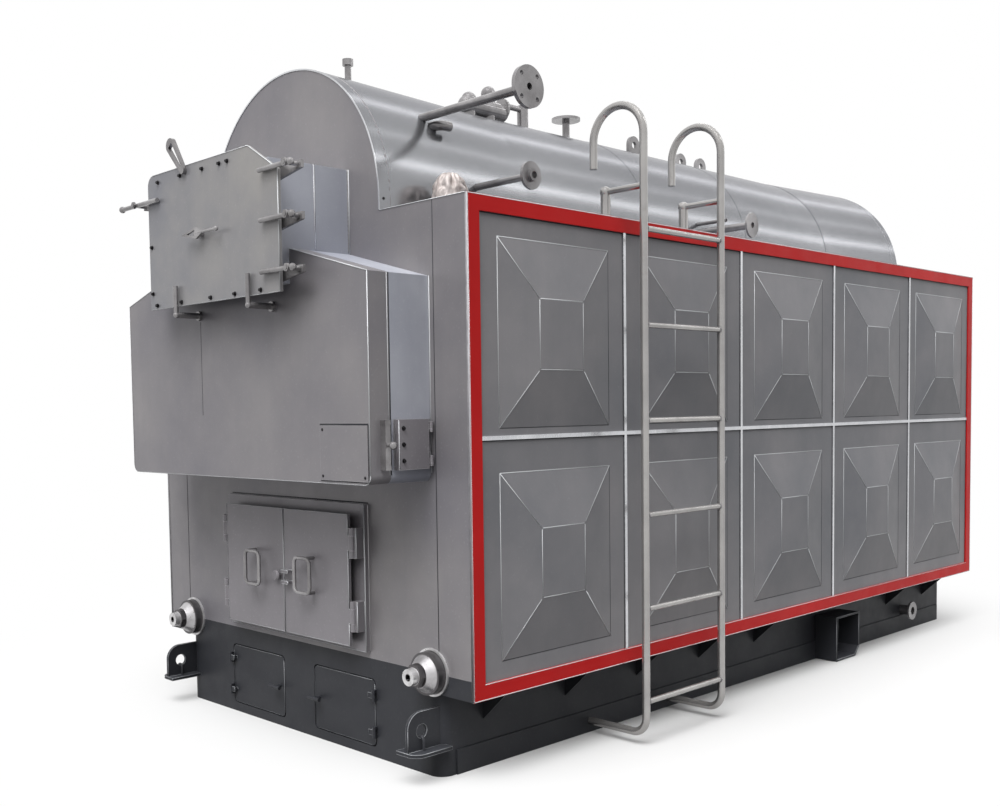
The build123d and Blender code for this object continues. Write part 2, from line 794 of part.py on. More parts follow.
def hinge_barrel(x, y, z, height, pin, barrel, reach, arm_half):
    """Moving barrel with an arm that reaches the leaf, bored for the pin."""
    z0 = z - height / 4 + HINGE_END
    z1 = z + height / 4 - HINGE_END
    knuckle = rod_z(x, y, z0, z1, barrel)
    arm = block(reach, x, y - arm_half, y + arm_half, z0, z1)
    return knuckle + arm - rod_z(x, y, z0, z1, pin + HINGE_PLAY)


# Fire doors

def fire_frame():
    """Plate round the mouth, with a cheek plate outside each hinge."""
    face = rect(-FIRE_FRAME_HALF, FIRE_FRAME_HALF, FIRE_FRAME_BOTTOM, FIRE_FRAME_TOP)
    face -= rect(-FIRE_HALF, FIRE_HALF, FIRE_BOTTOM, FIRE_TOP)
    frame = front_plate(face, FRONT - FIRE_FRAME_THICK, FRONT)
    frame += hinge_posts(fire_hinges(), HINGE_HEIGHT, HINGE_PIN, HINGE_BARREL, HINGE_FOOT)
    for x, y, z, seat in fire_hinges():
        if x > 0:
            inner = x + HINGE_BARREL + HINGE_END
            cheek = block(inner, inner + HINGE_PLATE, y, seat, z - HINGE_HEIGHT / 2, z + HINGE_HEIGHT / 2)
            for z0 in (z - HINGE_HEIGHT / 2, z + HINGE_HEIGHT / 4):
                cheek += block(x, inner, y, seat, z0, z0 + HINGE_HEIGHT / 4)
            frame += cheek
            frame += mirrored(cheek)
    return frame


def fire_leaf():
    """Right-hand leaf: an outer plate with an insulated box set in behind it."""
    plate = block(CLEAR / 2, LEAF_HALF, LEAF_FRONT, LEAF_FRONT + LEAF_PLATE, LEAF_BOTTOM, LEAF_TOP)
    back_box = block(LEAF_INSET, LEAF_HALF - LEAF_INSET, LEAF_FRONT + LEAF_PLATE, LEAF_BACK,
                     LEAF_BOTTOM + LEAF_INSET, LEAF_TOP - LEAF_INSET)
    leaf = plate + back_box
    for x, y, z, seat in fire_hinges():
        if x > 0:
            leaf += hinge_barrel(x, y, z, HINGE_HEIGHT, HINGE_PIN, HINGE_BARREL, LEAF_HALF, HINGE_ARM / 2)
    return leaf


def latch_catch():
    """Two short ears on the right-hand leaf that the knob's tongue drops between."""
    ears = []
    for side in (-1, 1):
        z = LATCH_Z + side * LATCH_RADIUS
        ears.append(block(CLEAR * 2, LATCH_X + LATCH_RADIUS, LEAF_FRONT - LATCH_REACH, LEAF_FRONT,
                          z - CLEAR, z + CLEAR))
    return ears[0] + ears[1]


def latch_knob():
    """Round knob near the free edge of the left-hand leaf."""
    stem = rod_y(-LATCH_X, LEAF_FRONT - LATCH_REACH, LEAF_FRONT, LATCH_Z, LATCH_RADIUS / 2)
    head = rod_y(-LATCH_X, LEAF_FRONT - LATCH_REACH, LEAF_FRONT - LATCH_REACH / 2, LATCH_Z, LATCH_RADIUS)
    return stem + chamfer(head.edges().group_by(Axis.Y)[0], length=CLEAR)


def fire_handle():
    """Rounded loop of bar on the right-hand leaf, held off it by two legs."""
    y = LEAF_FRONT - HANDLE_REACH
    outline = Pos(HANDLE_X, HANDLE_Z) * RectangleRounded(HANDLE_WIDTH, HANDLE_HEIGHT, HANDLE_CORNER)
    path = (Plane.XZ.offset(-y) * outline).wire()
    section = Plane(origin=path @ 0, z_dir=path % 0) * Circle(HANDLE_ROD)
    loop = sweep(section, path=path)
    x = HANDLE_X + HANDLE_WIDTH / 2 - HANDLE_CORNER
    for side in (-1, 1):
        loop += rod_y(x, y, LEAF_FRONT, HANDLE_Z + side * HANDLE_HEIGHT / 2, HANDLE_ROD)
    return loop


def ash_leaf():
    """Right-hand ash door with straps, barrels and a tee grip."""
    y0 = FRONT
    face = rect(ASH_INNER, ASH_OUTER, ASH_BOTTOM, ASH_TOP)
    leaf = front_plate(fillet(face.vertices(), radius=ASH_CORNER), y0, y0 + ASH_THICK)
    reach = ASH_OUTER - ASH_STRAP
    for x, y, z, seat in ash_hinges():
        if x > 0:
            leaf += hinge_barrel(x, y, z, ASH_HINGE, ASH_PIN, ASH_BARREL, reach, ASH_PIN)
            leaf += block(reach, reach + ASH_STRAP / 2, y - ASH_PIN, y0, z - ASH_BARREL, z + ASH_BARREL)
    x = ASH_INNER + ASH_GRIP_X
    z = (ASH_BOTTOM + ASH_TOP) / 2
    leaf += rod_y(x, y0 - ASH_GRIP_REACH, y0, z, ASH_GRIP_ROD)
    return leaf + rod_x(x - ASH_GRIP_HALF, x + ASH_GRIP_HALF, y0 - ASH_GRIP_REACH, z, ASH_GRIP_ROD)


# Wide front box

def box_face():
    outline = Polyline(
        (-BOX_HALF, BOX_BOTTOM), (BOX_HALF, BOX_BOTTOM), (BOX_HALF, BOX_SHOULDER),
        (SMOKE_HALF, BOX_SLOPE_TOP), (SMOKE_HALF, SMOKE_BOTTOM), (-SMOKE_HALF, SMOKE_BOTTOM),
        (-SMOKE_HALF, BOX_SLOPE_TOP), (-BOX_HALF, BOX_SHOULDER), (-BOX_HALF, BOX_BOTTOM))
    face = make_face(outline)
    return fillet(face.vertices().group_by(Axis.Y)[0], radius=BOX_CORNER)


def box_hollow():
    return offset(box_face(), amount=-BOX_SHEET, kind=Kind.INTERSECTION)


def hatch_hole():
    return rect(FRONT - HATCH_FRONT + HATCH_LIP, FRONT - HATCH_BACK - HATCH_LIP,
                HATCH_BOTTOM + HATCH_LIP, HATCH_TOP - HATCH_LIP)


def hopper_collar():
    ring = front_plate(box_face() - box_hollow(), COLLAR_FRONT, FRONT)
    ring -= side_plate(hatch_hole(), BOX_HALF - BOX_SHEET * 2, BOX_HALF + BOX_SHEET)
    return ring


def hopper_cover():
    tray = front_plate(box_face(), BOX_FRONT, COLLAR_FRONT)
    return tray - front_plate(box_hollow(), BOX_FRONT + BOX_SHEET, COLLAR_FRONT)


def access_panel():
    right = BOX_HALF - PANEL_EDGE
    return block(right - PANEL_LENGTH, right, BOX_FRONT - PANEL_THICK, BOX_FRONT, PANEL_BOTTOM, PANEL_TOP)


def hatch_axis():
    return (BOX_HALF + BOX_SHEET + CLEAR + HATCH_THICK / 2, FRONT - HATCH_BACK + HATCH_SWING)


def hatch_hinges():
    return (HATCH_BOTTOM + HATCH_HINGE_EDGE, HATCH_TOP - HATCH_HINGE_EDGE)


def hatch_frame():
    """Flat frame round the hatch with two hinge pins, each held by two knuckles."""
    x, y = hatch_axis()
    face = rect(FRONT - HATCH_FRONT, y + HATCH_BARREL, HATCH_BOTTOM, HATCH_TOP) - hatch_hole()
    frame = side_plate(face, BOX_HALF, BOX_HALF + BOX_SHEET)
    for z in hatch_hinges():
        frame += rod_z(x, y, z - 2 * HATCH_KNUCKLE, z + 2 * HATCH_KNUCKLE, HINGE_PIN)
        for z0 in (z - 2 * HATCH_KNUCKLE, z + HATCH_KNUCKLE):
            frame += rod_z(x, y, z0, z0 + HATCH_KNUCKLE, HATCH_BARREL)
            frame += block(BOX_HALF, x, y - HATCH_BARREL / 2, y + HATCH_BARREL / 2, z0, z0 + HATCH_KNUCKLE)
    return frame


def hatch_door():
    x0 = BOX_HALF + BOX_SHEET + CLEAR
    door = block(x0, x0 + HATCH_THICK, FRONT - HATCH_FRONT, FRONT - HATCH_BACK, HATCH_BOTTOM, HATCH_TOP)
    x, y = hatch_axis()
    for z in hatch_hinges():
        z0 = z - HATCH_KNUCKLE + HINGE_END
        z1 = z + HATCH_KNUCKLE - HINGE_END
        door += rod_z(x, y, z0, z1, HATCH_BARREL)
        door += block(x - HATCH_ARM, x + HATCH_ARM, FRONT - HATCH_BACK, y, z0, z1)
        door -= rod_z(x, y, z0, z1, HINGE_PIN + HINGE_PLAY)
    return door


def hatch_latch():
    """Upright bar on the cover with a cap at each end and a round knob."""
    y = FRONT - LATCH_BAR_Y
    low = HATCH_BOTTOM + LATCH_BAR_EDGE
    high = HATCH_TOP - LATCH_BAR_EDGE
    out = BOX_HALF + LATCH_BAR_THICK
    bar = block(BOX_HALF, out, y - LATCH_BAR_HALF, y + LATCH_BAR_HALF, low, high)
    cap_half = LATCH_BAR_HALF + HINGE_END
    for z0, z1 in ((low - LATCH_CAP, low), (high, high + LATCH_CAP)):
        bar += block(BOX_HALF, out + HINGE_END, y - cap_half, y + cap_half, z0, z1)
    z = (low + high) / 2
    bar += rod_x(out, out + KNOB_REACH, y, z, KNOB_RADIUS / 2)
    return bar + Pos(out + KNOB_REACH, y, z) * Sphere(KNOB_RADIUS)


# Upper smoke box

def smoke_box():
    return block(-SMOKE_HALF, SMOKE_HALF, SMOKE_FRONT, FRONT, SMOKE_BOTTOM, SMOKE_TOP)


def smoke_door():
    """Plate with one top corner cut off and the other rounded."""
    outline = Polyline(
        (-SMOKE_DOOR_HALF, SMOKE_DOOR_BOTTOM), (SMOKE_DOOR_HALF, SMOKE_DOOR_BOTTOM),
        (SMOKE_DOOR_HALF, SMOKE_DOOR_TOP - SMOKE_CUT_Z), (SMOKE_DOOR_HALF - SMOKE_CUT_X, SMOKE_DOOR_TOP),
        (-SMOKE_DOOR_HALF, SMOKE_DOOR_TOP), (-SMOKE_DOOR_HALF, SMOKE_DOOR_BOTTOM))
    face = make_face(outline)
    top_left = face.vertices().group_by(Axis.Y)[-1].sort_by(Axis.X)[0]
    return front_plate(fillet(top_left, radius=SMOKE_CORNER), SMOKE_DOOR_FRONT, SMOKE_FRONT)


def clamp_bolt(x, y, depth):
    """Bolt and nut of a clamp bar, in the bar's own frame: it goes back from the bar by depth."""
    bolt = rod_z(x, y, -depth, DOG_PROUD + 2 * DOG_ROD, DOG_BOLT)
    nut = Plane.XY.offset(DOG_PROUD + DOG_BOLT) * (Pos(x, y) * RegularPolygon(DOG_NUT, 6))
    return bolt + extrude(nut, amount=DOG_BOLT)


def swing_bolt(outward):
    """Clamp bar across the door's edge. Local x points out over the edge, y up, z to the front."""
    return rod_x(-DOG_INWARD, outward, 0, DOG_PROUD, DOG_ROD) + Pos(outward, 0, DOG_PROUD) * Sphere(DOG_BALL)


def side_dog(outward):
    """Swing bolt on a lug that stands out from the side of the smoke box."""
    x = DOG_OUTWARD - DOG_PAD
    wall = SMOKE_HALF - SMOKE_DOOR_HALF
    plan = Polyline((wall, DOG_LUG), (x + DOG_PAD, DOG_LUG), (x + DOG_PAD, -DOG_LUG), (wall, -DOG_LUG_DROP),
                    (wall, DOG_LUG))
    lug = extrude(Plane.XY.offset(-DOG_DEPTH) * make_face(plan), amount=DOG_LUG)
    return swing_bolt(outward) + clamp_bolt(x, 0, DOG_DEPTH) + lug


def hook_bolt():
    """Angled bar under the door: one leg up its face and a thicker one back to the wide box."""
    depth = BOX_FRONT - SMOKE_DOOR_FRONT
    hook = rod_x(-HOOK_INWARD, HOOK_DROP, 0, DOG_PROUD, DOG_ROD)
    hook += Pos(HOOK_DROP, 0, DOG_PROUD) * Sphere(HOOK_TUBE)
    hook += rod_z(HOOK_DROP, 0, -depth, DOG_PROUD, HOOK_TUBE)
    return hook + rod_z(HOOK_DROP, 0, -depth, HOOK_BOSS_THICK - depth, HOOK_BOSS)


def lifting_eye():
    """Tapered eye with a long slot that leans over the top edge of the door."""
    body = Circle(EYE_FOOT) + Pos(0, EYE_LENGTH) * Circle(EYE_TOP)
    sides = Polyline((-EYE_FOOT, 0), (EYE_FOOT, 0), (EYE_TOP, EYE_LENGTH), (-EYE_TOP, EYE_LENGTH),
                     (-EYE_FOOT, 0))
    body += make_face(sides)
    slot = Polyline((-EYE_SLOT, EYE_FOOT), (EYE_SLOT, EYE_FOOT), (2 * EYE_SLOT, EYE_LENGTH),
                    (-2 * EYE_SLOT, EYE_LENGTH), (-EYE_SLOT, EYE_FOOT))
    body -= make_face(slot)
    body = Pos(EYE_X, EYE_Z) * Rot(0, 0, EYE_LEAN) * body
    return front_plate(body, SMOKE_DOOR_FRONT - EYE_THICK, SMOKE_DOOR_FRONT)


def door_lever():
    """Hollow diamond grip on a hub, with a tail that ends in a ball."""
    y0 = SMOKE_DOOR_FRONT - LEVER_REACH
    hub = rod_y(LEVER_HUB, y0, SMOKE_DOOR_FRONT, LEVER_Z, LEVER_BOSS)
    grip = make_face(Polyline((-LEVER_LEFT, 0), (0, -LEVER_HALF), (LEVER_LEFT / 2, 0), (0, LEVER_HALF),
                              (-LEVER_LEFT, 0)))
    window = Pos(-LEVER_BOSS, 0) * scale(grip, LEVER_BAR)
    lever = front_plate(Pos(LEVER_HUB, LEVER_Z) * (grip - window), y0, y0 + DOG_ROD) + hub
    lever += rod_x(LEVER_HUB, LEVER_HUB + LEVER_RIGHT, y0 + DOG_ROD / 2, LEVER_Z, LEVER_TAIL)
    return lever + Pos(LEVER_HUB + LEVER_RIGHT, y0 + DOG_ROD / 2, LEVER_Z) * Sphere(DOG_ROD)


def at_door_edge(dog, x, z, outward):
    """Set a clamp at a point of the door's edge, pointing outward."""
    return Plane(origin=(x, SMOKE_DOOR_FRONT, z), x_dir=outward, z_dir=(0, -1, 0)).location * dog


def door_dogs():
    """Clamps round the smoke box door, with its eye and lever."""
    right = (1, 0, 0)
    down = (0, 0, -1)
    dogs = [lifting_eye(), door_lever()]
    for z in SIDE_DOGS:
        dogs.append(at_door_edge(side_dog(DOG_OUTWARD), SMOKE_DOOR_HALF, z, right))
    dogs.append(mirrored(at_door_edge(side_dog(DOG_LONG), SMOKE_DOOR_HALF, LEFT_DOG, right)))
    for x in HOOK_PLACES:
        dogs.append(at_door_edge(hook_bolt(), x, SMOKE_DOOR_BOTTOM, down))
    return dogs


# Ladder

def ladder_rail(y):
    """One rail: a foot bent in to the base, the upright and the hook over the top."""
    inner = BASE_HALF + SILL_PROUD + SEAT
    with BuildPart() as rail:
        with BuildLine(Plane.XZ.offset(-y)):
            FilletPolyline((inner, FOOT_Z), (LADDER_X, FOOT_Z), (LADDER_X, ARCH_Z), radius=FOOT_BEND)
            ThreePointArc((LADDER_X, ARCH_Z), (LADDER_X - ARCH_RADIUS, ARCH_Z + ARCH_RADIUS),
                          (LADDER_X - 2 * ARCH_RADIUS, ARCH_Z))
            Line((LADDER_X - 2 * ARCH_RADIUS, ARCH_Z), (LADDER_X - 2 * ARCH_RADIUS, HOOK_END_Z))
        with BuildSketch(Plane(origin=(inner, y, FOOT_Z), z_dir=(1, 0, 0))):
            Circle(RAIL_RADIUS)
        sweep()
    return rail.part


def ladder_rungs():
    rungs = []
    y0 = FRONT + LADDER_FRONT
    y1 = FRONT + LADDER_BACK
    for k in range(RUNGS):
        z = FIRST_RUNG + k * RUNG_PITCH
        rung = rod_y(LADDER_X, y0, y1, z, RUNG_RADIUS)
        for y in (y0, y1):
            rung -= rod_z(LADDER_X, y, z - 2 * RAIL_RADIUS, z + 2 * RAIL_RADIUS, RAIL_RADIUS + SEAT)
        rungs.append(rung)
    return rungs


def ladder_brace(y):
    """Stanchion on the roof edge and the bar that holds the rail off it."""
    z = BODY_TOP + BRACE_Z
    rail = rod_z(LADDER_X, y, z - 2 * RAIL_RADIUS, z + 2 * RAIL_RADIUS, RAIL_RADIUS + SEAT)
    bar = rod_x(BRACE_X, LADDER_X, y, z, BRACE_RADIUS) - rail
    post = rod_z(BRACE_X, y, BODY_TOP, z, STANCHION_RADIUS)
    return bar + post + Pos(BRACE_X, y, z) * Sphere(BRACE_BALL)


# Pipes and fittings on the drum casing

def drum_cutter():
    """Solid of the drum casing's outside, used to seat what stands on it."""
    return front_plate(arch_face(DRUM_RADIUS + SEAT, BODY_BOTTOM, DRUM_CENTRE_Z), FRONT, BACK)


def flange_x(x0, x1, y, z, radius, bolt_circle, bolt):
    """Round flange facing +X with four bolt holes."""
    disc = rod_x(x0, x1, y, z, radius)
    for k in range(4):
        angle = math.radians(45 + 90 * k)
        disc -= rod_x(x0, x1, y + bolt_circle * math.cos(angle), z + bolt_circle * math.sin(angle), bolt)
    return disc


def steam_outlet():
    y = FRONT + STEAM_Y
    end = STEAM_END + STEAM_FLANGE_THICK
    pipe = rod_x(0, STEAM_END, y, STEAM_Z, STEAM_PIPE) - drum_cutter()
    flange = flange_x(STEAM_END, end, y, STEAM_Z, STEAM_FLANGE, STEAM_BOLT_CIRCLE, STEAM_BOLT)
    bore = rod_x(end - STEAM_BORE_LENGTH, end, y, STEAM_Z, STEAM_BORE)
    return pipe + flange - bore


def steam_elbow():
    """Short open elbow beside the steam pipe, bent towards the back."""
    y = FRONT + ELBOW_Y
    root = DRUM_RADIUS / 2
    bend_x = math.sqrt(DRUM_RADIUS ** 2 - (ELBOW_Z - DRUM_CENTRE_Z) ** 2) + ELBOW_REACH
    with BuildPart() as elbow:
        with BuildLine(Plane.XY.offset(ELBOW_Z)):
            FilletPolyline((root, y), (bend_x, y), (bend_x, FRONT + ELBOW_END), radius=ELBOW_BEND)
        with BuildSketch(Plane(origin=(root, y, ELBOW_Z), z_dir=(1, 0, 0))):
            Circle(ELBOW_PIPE)
            Circle(ELBOW_PIPE - ELBOW_WALL, mode=Mode.SUBTRACT)
        sweep()
    return elbow.part - drum_cutter()


def feed_branch():
    """Small pipe with a dished flange that is bored through its boss."""
    y = FRONT + FEED_Y
    end = FEED_END + BRANCH_FLANGE_THICK
    branch = rod_x(0, FEED_END, y, FEED_Z, FEED_PIPE) - drum_cutter()
    branch += rod_x(FEED_END, end, y, FEED_Z, FEED_FLANGE)
    branch += rod_x(end, end + FEED_PIPE, y, FEED_Z, FEED_BOSS)
    return branch - rod_x(end, end + FEED_PIPE, y, FEED_Z, FEED_PIPE)


def rear_branch():
    """Pipe that ends in a pointed two-bolt flange."""
    y = FRONT + REAR_Y
    end = REAR_END + BRANCH_FLANGE_THICK
    lens = Pos(y - REAR_LENS_SHIFT, REAR_Z) * Circle(REAR_LENS)
    lens &= Pos(y + REAR_LENS_SHIFT, REAR_Z) * Circle(REAR_LENS)
    pipe = rod_x(0, REAR_END, y, REAR_Z, REAR_PIPE) - drum_cutter()
    return pipe + side_plate(lens, REAR_END, end) - rod_x(REAR_END, end, y, REAR_Z, REAR_PIPE - ELBOW_WALL)


def drain_cock():
    """Short open pipe above the rear branch."""
    y = FRONT + REAR_Y
    z = REAR_Z + DRAIN_RISE
    pipe = rod_x(0, DRAIN_END, y, z, DRAIN_PIPE) - drum_cutter()
    return pipe - rod_x(DRAIN_END - DRAIN_RISE, DRAIN_END, y, z, DRAIN_PIPE - ELBOW_WALL)


def blowdown_pipe():
    """Flanged pipe through the right side of the base."""
    y = BASE_BACK - BLOWDOWN_Y
    start = BASE_HALF
    pipe = rod_x(start, BLOWDOWN_END, y, BLOWDOWN_Z, BLOWDOWN_PIPE)
    pipe += rod_x(BLOWDOWN_END - BRANCH_FLANGE_THICK, BLOWDOWN_END, y, BLOWDOWN_Z, BLOWDOWN_FLANGE)
    return pipe - rod_x(start, BLOWDOWN_END, y, BLOWDOWN_Z, BLOWDOWN_BORE)


def side_branches():
    return [steam_elbow(), feed_branch(), rear_branch(), drain_cock(), blowdown_pipe()]


def crown_stub(y, height, stem, foot, head, head_thick):
    """Upright stem with a round head on the crown of the drum casing."""
    stub = rod_z(0, y, CROWN - foot, CROWN + height, stem)
    stub += rod_z(0, y, CROWN - foot, CROWN + foot / 2, foot)
    stub += rod_z(0, y, CROWN + height - head_thick, CROWN + height, head)
    return stub - drum_cutter()


def top_stubs():
    vent = crown_stub(FRONT + VENT_Y, VENT_HEIGHT, VENT_STEM, VENT_STEM, VENT_HEAD, VENT_HEAD_THICK)
    tee = crown_stub(FRONT + TEE_Y, TEE_HEIGHT, TEE_STEM, TEE_FOOT, TEE_HEAD, TEE_HEAD_THICK)
    return [vent, tee]


def valve_header():
    """Cast header on two feet, with two domes, and an arm to an upright post."""
    y0 = FRONT + HEADER_FRONT
    y1 = FRONT + HEADER_BACK
    post_y = FRONT + POST_Y
    z = CROWN + HEADER_Z
    header = rod_y(0, y0, y1, z, HEADER_RADIUS)
    header += Pos(0, y0, z) * Sphere(HEADER_RADIUS)
    header += rod_y(0, y1 - BRANCH_FLANGE_THICK, y1, z + HEADER_FLANGE_RISE, HEADER_FLANGE)
    for place, rise in zip(DOME_PLACES, DOME_TOPS):
        y = FRONT + place
        top = CROWN + rise
        header += rod_z(0, y, CROWN - HEADER_FOOT, top - DOME_RADIUS, HEADER_FOOT)
        header += Pos(0, y, top - DOME_RADIUS) * Sphere(DOME_RADIUS)
    header += rod_y(0, y1, post_y, CROWN + ARM_Z, ARM_RADIUS)
    header += rod_z(0, post_y, CROWN - POST_RADIUS, CROWN + ARM_Z + POST_CAP, POST_RADIUS)
    return header - drum_cutter()


def lagged_stub():
    """Pipe end on the roof, wrapped in lagging that tapers and leans to the front."""
    layers = ((0, LAG_WIDTH, LAG_LENGTH, 0), (LAG_WAIST, LAG_WAIST_WIDTH, LAG_WAIST_LENGTH, LAG_LEAN / 2),
              (LAG_HEIGHT, LAG_TOP_WIDTH, LAG_TOP_LENGTH, LAG_LEAN))
    rings = []
    for rise, width, length, lean in layers:
        ring = Pos(LAG_X, FRONT + LAG_Y - lean) * Ellipse(width / 2, length / 2)
        rings.append(Plane.XY.offset(BODY_TOP + rise) * ring)
    return loft(rings)


def lifting_lugs():
    lugs = []
    for place, rise in zip(LUG_PLACES, LUG_RISES):
        face = rect(-LUG_RADIUS, LUG_RADIUS, -LUG_RADIUS, rise) + Pos(0, rise) * Circle(LUG_RADIUS)
        face -= Pos(0, rise) * Circle(LUG_HOLE)
        lug = side_plate(Pos(FRONT + place, CROWN) * face, -LUG_HALF, LUG_HALF)
        lugs.append(lug - drum_cutter())
    return lugs


def main():
    os.makedirs("parts", exist_ok=True)
    save(base_front(), "base_front")
    save(base_back(), "base_back")
    save(base_side(), "base_right_side")
    save(mirrored(base_side()), "base_left_side")
    save(base_floor(), "base_floor")
    save(floor_deck(), "floor_deck")
    right_gussets = gussets()
    save(group(right_gussets), "right_gussets")
    save(group([mirrored(plate) for plate in right_gussets]), "left_gussets")
    save(air_duct(), "air_duct")
    save(group([tow_bracket(), mirrored(tow_bracket())]), "tow_brackets")
    save(group([tensioner(), mirrored(tensioner())]), "grate_tensioners")
    save(front_wall(), "front_wall")
    save(rear_wall(), "rear_wall")
    save(side_casing(), "right_casing")
    save(mirrored(side_casing()), "left_casing")
    save(roof_deck(), "right_roof")
    save(mirrored(roof_deck()), "left_roof")
    save(drum_casing(), "drum_casing")
    save(side_frame(), "right_frame")
    save(mirrored(side_frame()), "left_frame")
    save(trim_strips(), "right_strips")
    save(mirrored(trim_strips()), "left_strips")
    right_panels = panels()
    save(group(right_panels), "right_panels")
    save(group([mirrored(sheet) for sheet in right_panels]), "left_panels")
    save(furnace_lining(), "furnace_lining")
    save(chain_grate(), "chain_grate")
    save(group([grate_shaft(FRONT_SHAFT), grate_shaft(REAR_SHAFT)]), "grate_shafts")
    save(fire_frame(), "fire_frame")
    save(fire_leaf() + latch_catch(), "fire_door_right")
    save(mirrored(fire_leaf()) + latch_knob(), "fire_door_left")
    save(fire_handle(), "fire_handle_right")
    save(mirrored(fire_handle()), "fire_handle_left")
    save(ash_leaf(), "ash_door_right")
    save(mirrored(ash_leaf()), "ash_door_left")
    save(hopper_collar(), "hopper_collar")
    save(hopper_cover(), "hopper_cover")
    save(access_panel(), "access_panel")
    save(hatch_frame(), "hatch_frame")
    save(hatch_door(), "hatch_door")
    save(hatch_latch(), "hatch_latch")
    save(smoke_box(), "smoke_box")
    save(smoke_door(), "smoke_door")
    save(group(door_dogs()), "door_dogs")
    rails = [ladder_rail(FRONT + LADDER_FRONT), ladder_rail(FRONT + LADDER_BACK)]
    save(group(rails), "ladder_rails")
    save(group(ladder_rungs()), "ladder_rungs")
    save(group([ladder_brace(FRONT + LADDER_FRONT), ladder_brace(FRONT + LADDER_BACK)]), "ladder_braces")
    save(steam_outlet(), "steam_outlet")
    save(group(side_branches()), "side_branches")
    save(group(top_stubs()), "top_stubs")
    save(valve_header(), "valve_header")
    save(lagged_stub(), "lagged_stub")
    save(flue_outlet(), "flue_outlet")
    save(rear_cover(), "rear_cover")
    save(group(lifting_lugs()), "lifting_lugs")


main()
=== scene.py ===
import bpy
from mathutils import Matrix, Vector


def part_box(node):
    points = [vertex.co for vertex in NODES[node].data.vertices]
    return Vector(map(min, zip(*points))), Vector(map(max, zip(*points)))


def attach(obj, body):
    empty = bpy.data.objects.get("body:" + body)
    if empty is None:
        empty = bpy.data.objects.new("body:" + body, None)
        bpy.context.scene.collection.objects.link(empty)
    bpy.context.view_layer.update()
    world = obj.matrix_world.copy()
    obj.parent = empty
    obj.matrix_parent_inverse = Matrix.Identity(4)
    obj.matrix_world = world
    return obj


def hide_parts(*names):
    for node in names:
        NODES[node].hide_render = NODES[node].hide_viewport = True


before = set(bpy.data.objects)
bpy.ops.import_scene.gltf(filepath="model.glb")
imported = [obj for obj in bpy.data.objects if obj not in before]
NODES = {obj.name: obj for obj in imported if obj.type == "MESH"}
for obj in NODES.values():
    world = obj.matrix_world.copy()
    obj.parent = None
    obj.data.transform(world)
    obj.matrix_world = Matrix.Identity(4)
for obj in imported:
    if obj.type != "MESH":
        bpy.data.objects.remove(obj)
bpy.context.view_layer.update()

import math

import bmesh
import bpy
from mathutils import Matrix, Vector, noise

SCENE = bpy.context.scene


# Places read from the frame, in metres

def span(node, axis):
    low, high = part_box(node)
    return low[axis], high[axis]


X, Y, Z = 0, 1, 2
FORWARD = (0, -1, 0)
BACKWARD = (0, 1, 0)
FRONT = span("front_wall", Y)[0]
BACK = span("rear_wall", Y)[1]
CLAD, HALF = span("right_frame", X)
BODY_BOTTOM, BODY_TOP = span("right_frame", Z)
BASE_TOP = span("base_front", Z)[1]
DRUM_RADIUS = span("drum_casing", X)[1]
DRUM_AXIS = span("drum_casing", Z)[1] - DRUM_RADIUS
END_RADIUS = span("front_wall", Z)[1] - DRUM_AXIS
SMOKE_HALF = span("smoke_box", X)[1]
SMOKE_TOP = span("smoke_box", Z)[1]
DOOR_FRONT = span("smoke_door", Y)[0]
DOOR_HALF = span("smoke_door", X)[1]
DOOR_BOTTOM, DOOR_TOP = span("smoke_door", Z)
BOX_FRONT, BOX_SEAM = span("hopper_cover", Y)
BOX_HALF = span("hopper_cover", X)[1]
BOX_BOTTOM, BOX_TOP = span("hopper_cover", Z)

# Top of the front box's upright sides, where its slopes up to the smoke box begin
BOX_SHOULDER = 1.946

# Middle of the right grate tensioner, which the left one mirrors
CUP_X = 0.890
CUP_Z = sum(span("grate_tensioners", Z)) / 2

# The two sides, and the two ends with the direction that each faces
SIDES = ((1, "right"), (-1, "left"))
ENDS = ((FRONT, -1), (BACK, 1))


# Small shape helpers

BAR_CHAMFER = 0.3
WASHER_REACH = 0.78
WASHER_THICK = 0.22
RIVET_RISE = 0.55
BEAD_SIDES = 6
BEAD_STEP = 0.006
BEAD_RIPPLE = 0.22
BEAD_STEEP = 0.9
SAME_PLACE = 0.00005
SAME_WAY = 0.98

# Angles in radians between the faces that meet at an edge
SQUARE_EDGES = (1.2, 1.9)
PRESSED_FOLDS = (0.05, 0.7)

# Heights of the thin lines along folds, joints and edges. Further down, a line is given by its width and
# height, and a bolt by its width across flats and its height.
LOW_LINE = 0.0008
MID_LINE = 0.0010
HIGH_LINE = 0.0012

# Gap between a face and the thin sheet or line on it
FACE_GAP = 0.0002


def add_object(name, bm, material, body="boiler", smooth=True, sharp=None):
    """Link the mesh as a named piece that rides on a body; edges above the sharp angle stay crisp."""
    bmesh.ops.recalc_face_normals(bm, faces=bm.faces)
    mesh = bpy.data.meshes.new(name)
    bm.to_mesh(mesh)
    bm.free()
    piece = bpy.data.objects.new(name, mesh)
    SCENE.collection.objects.link(piece)
    mesh.materials.append(material)
    for polygon in mesh.polygons:
        polygon.use_smooth = smooth
    if sharp:
        mesh.set_sharp_from_angle(angle=math.radians(sharp))
    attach(piece, body)
    return piece


def angles(count):
    """Evenly spaced angles round a full turn."""
    return [2 * math.pi * k / count for k in range(count)]


def skin(bm, low, high):
    """Faces between two rings of as many points."""
    for k in range(len(low)):
        j = (k + 1) % len(low)
        bm.faces.new((low[k], low[j], high[j], high[k]))


def cap(bm, first, last):
    """Faces that close both ends of a row of rings."""
    bm.faces.new(first)
    bm.faces.new(list(reversed(last)))


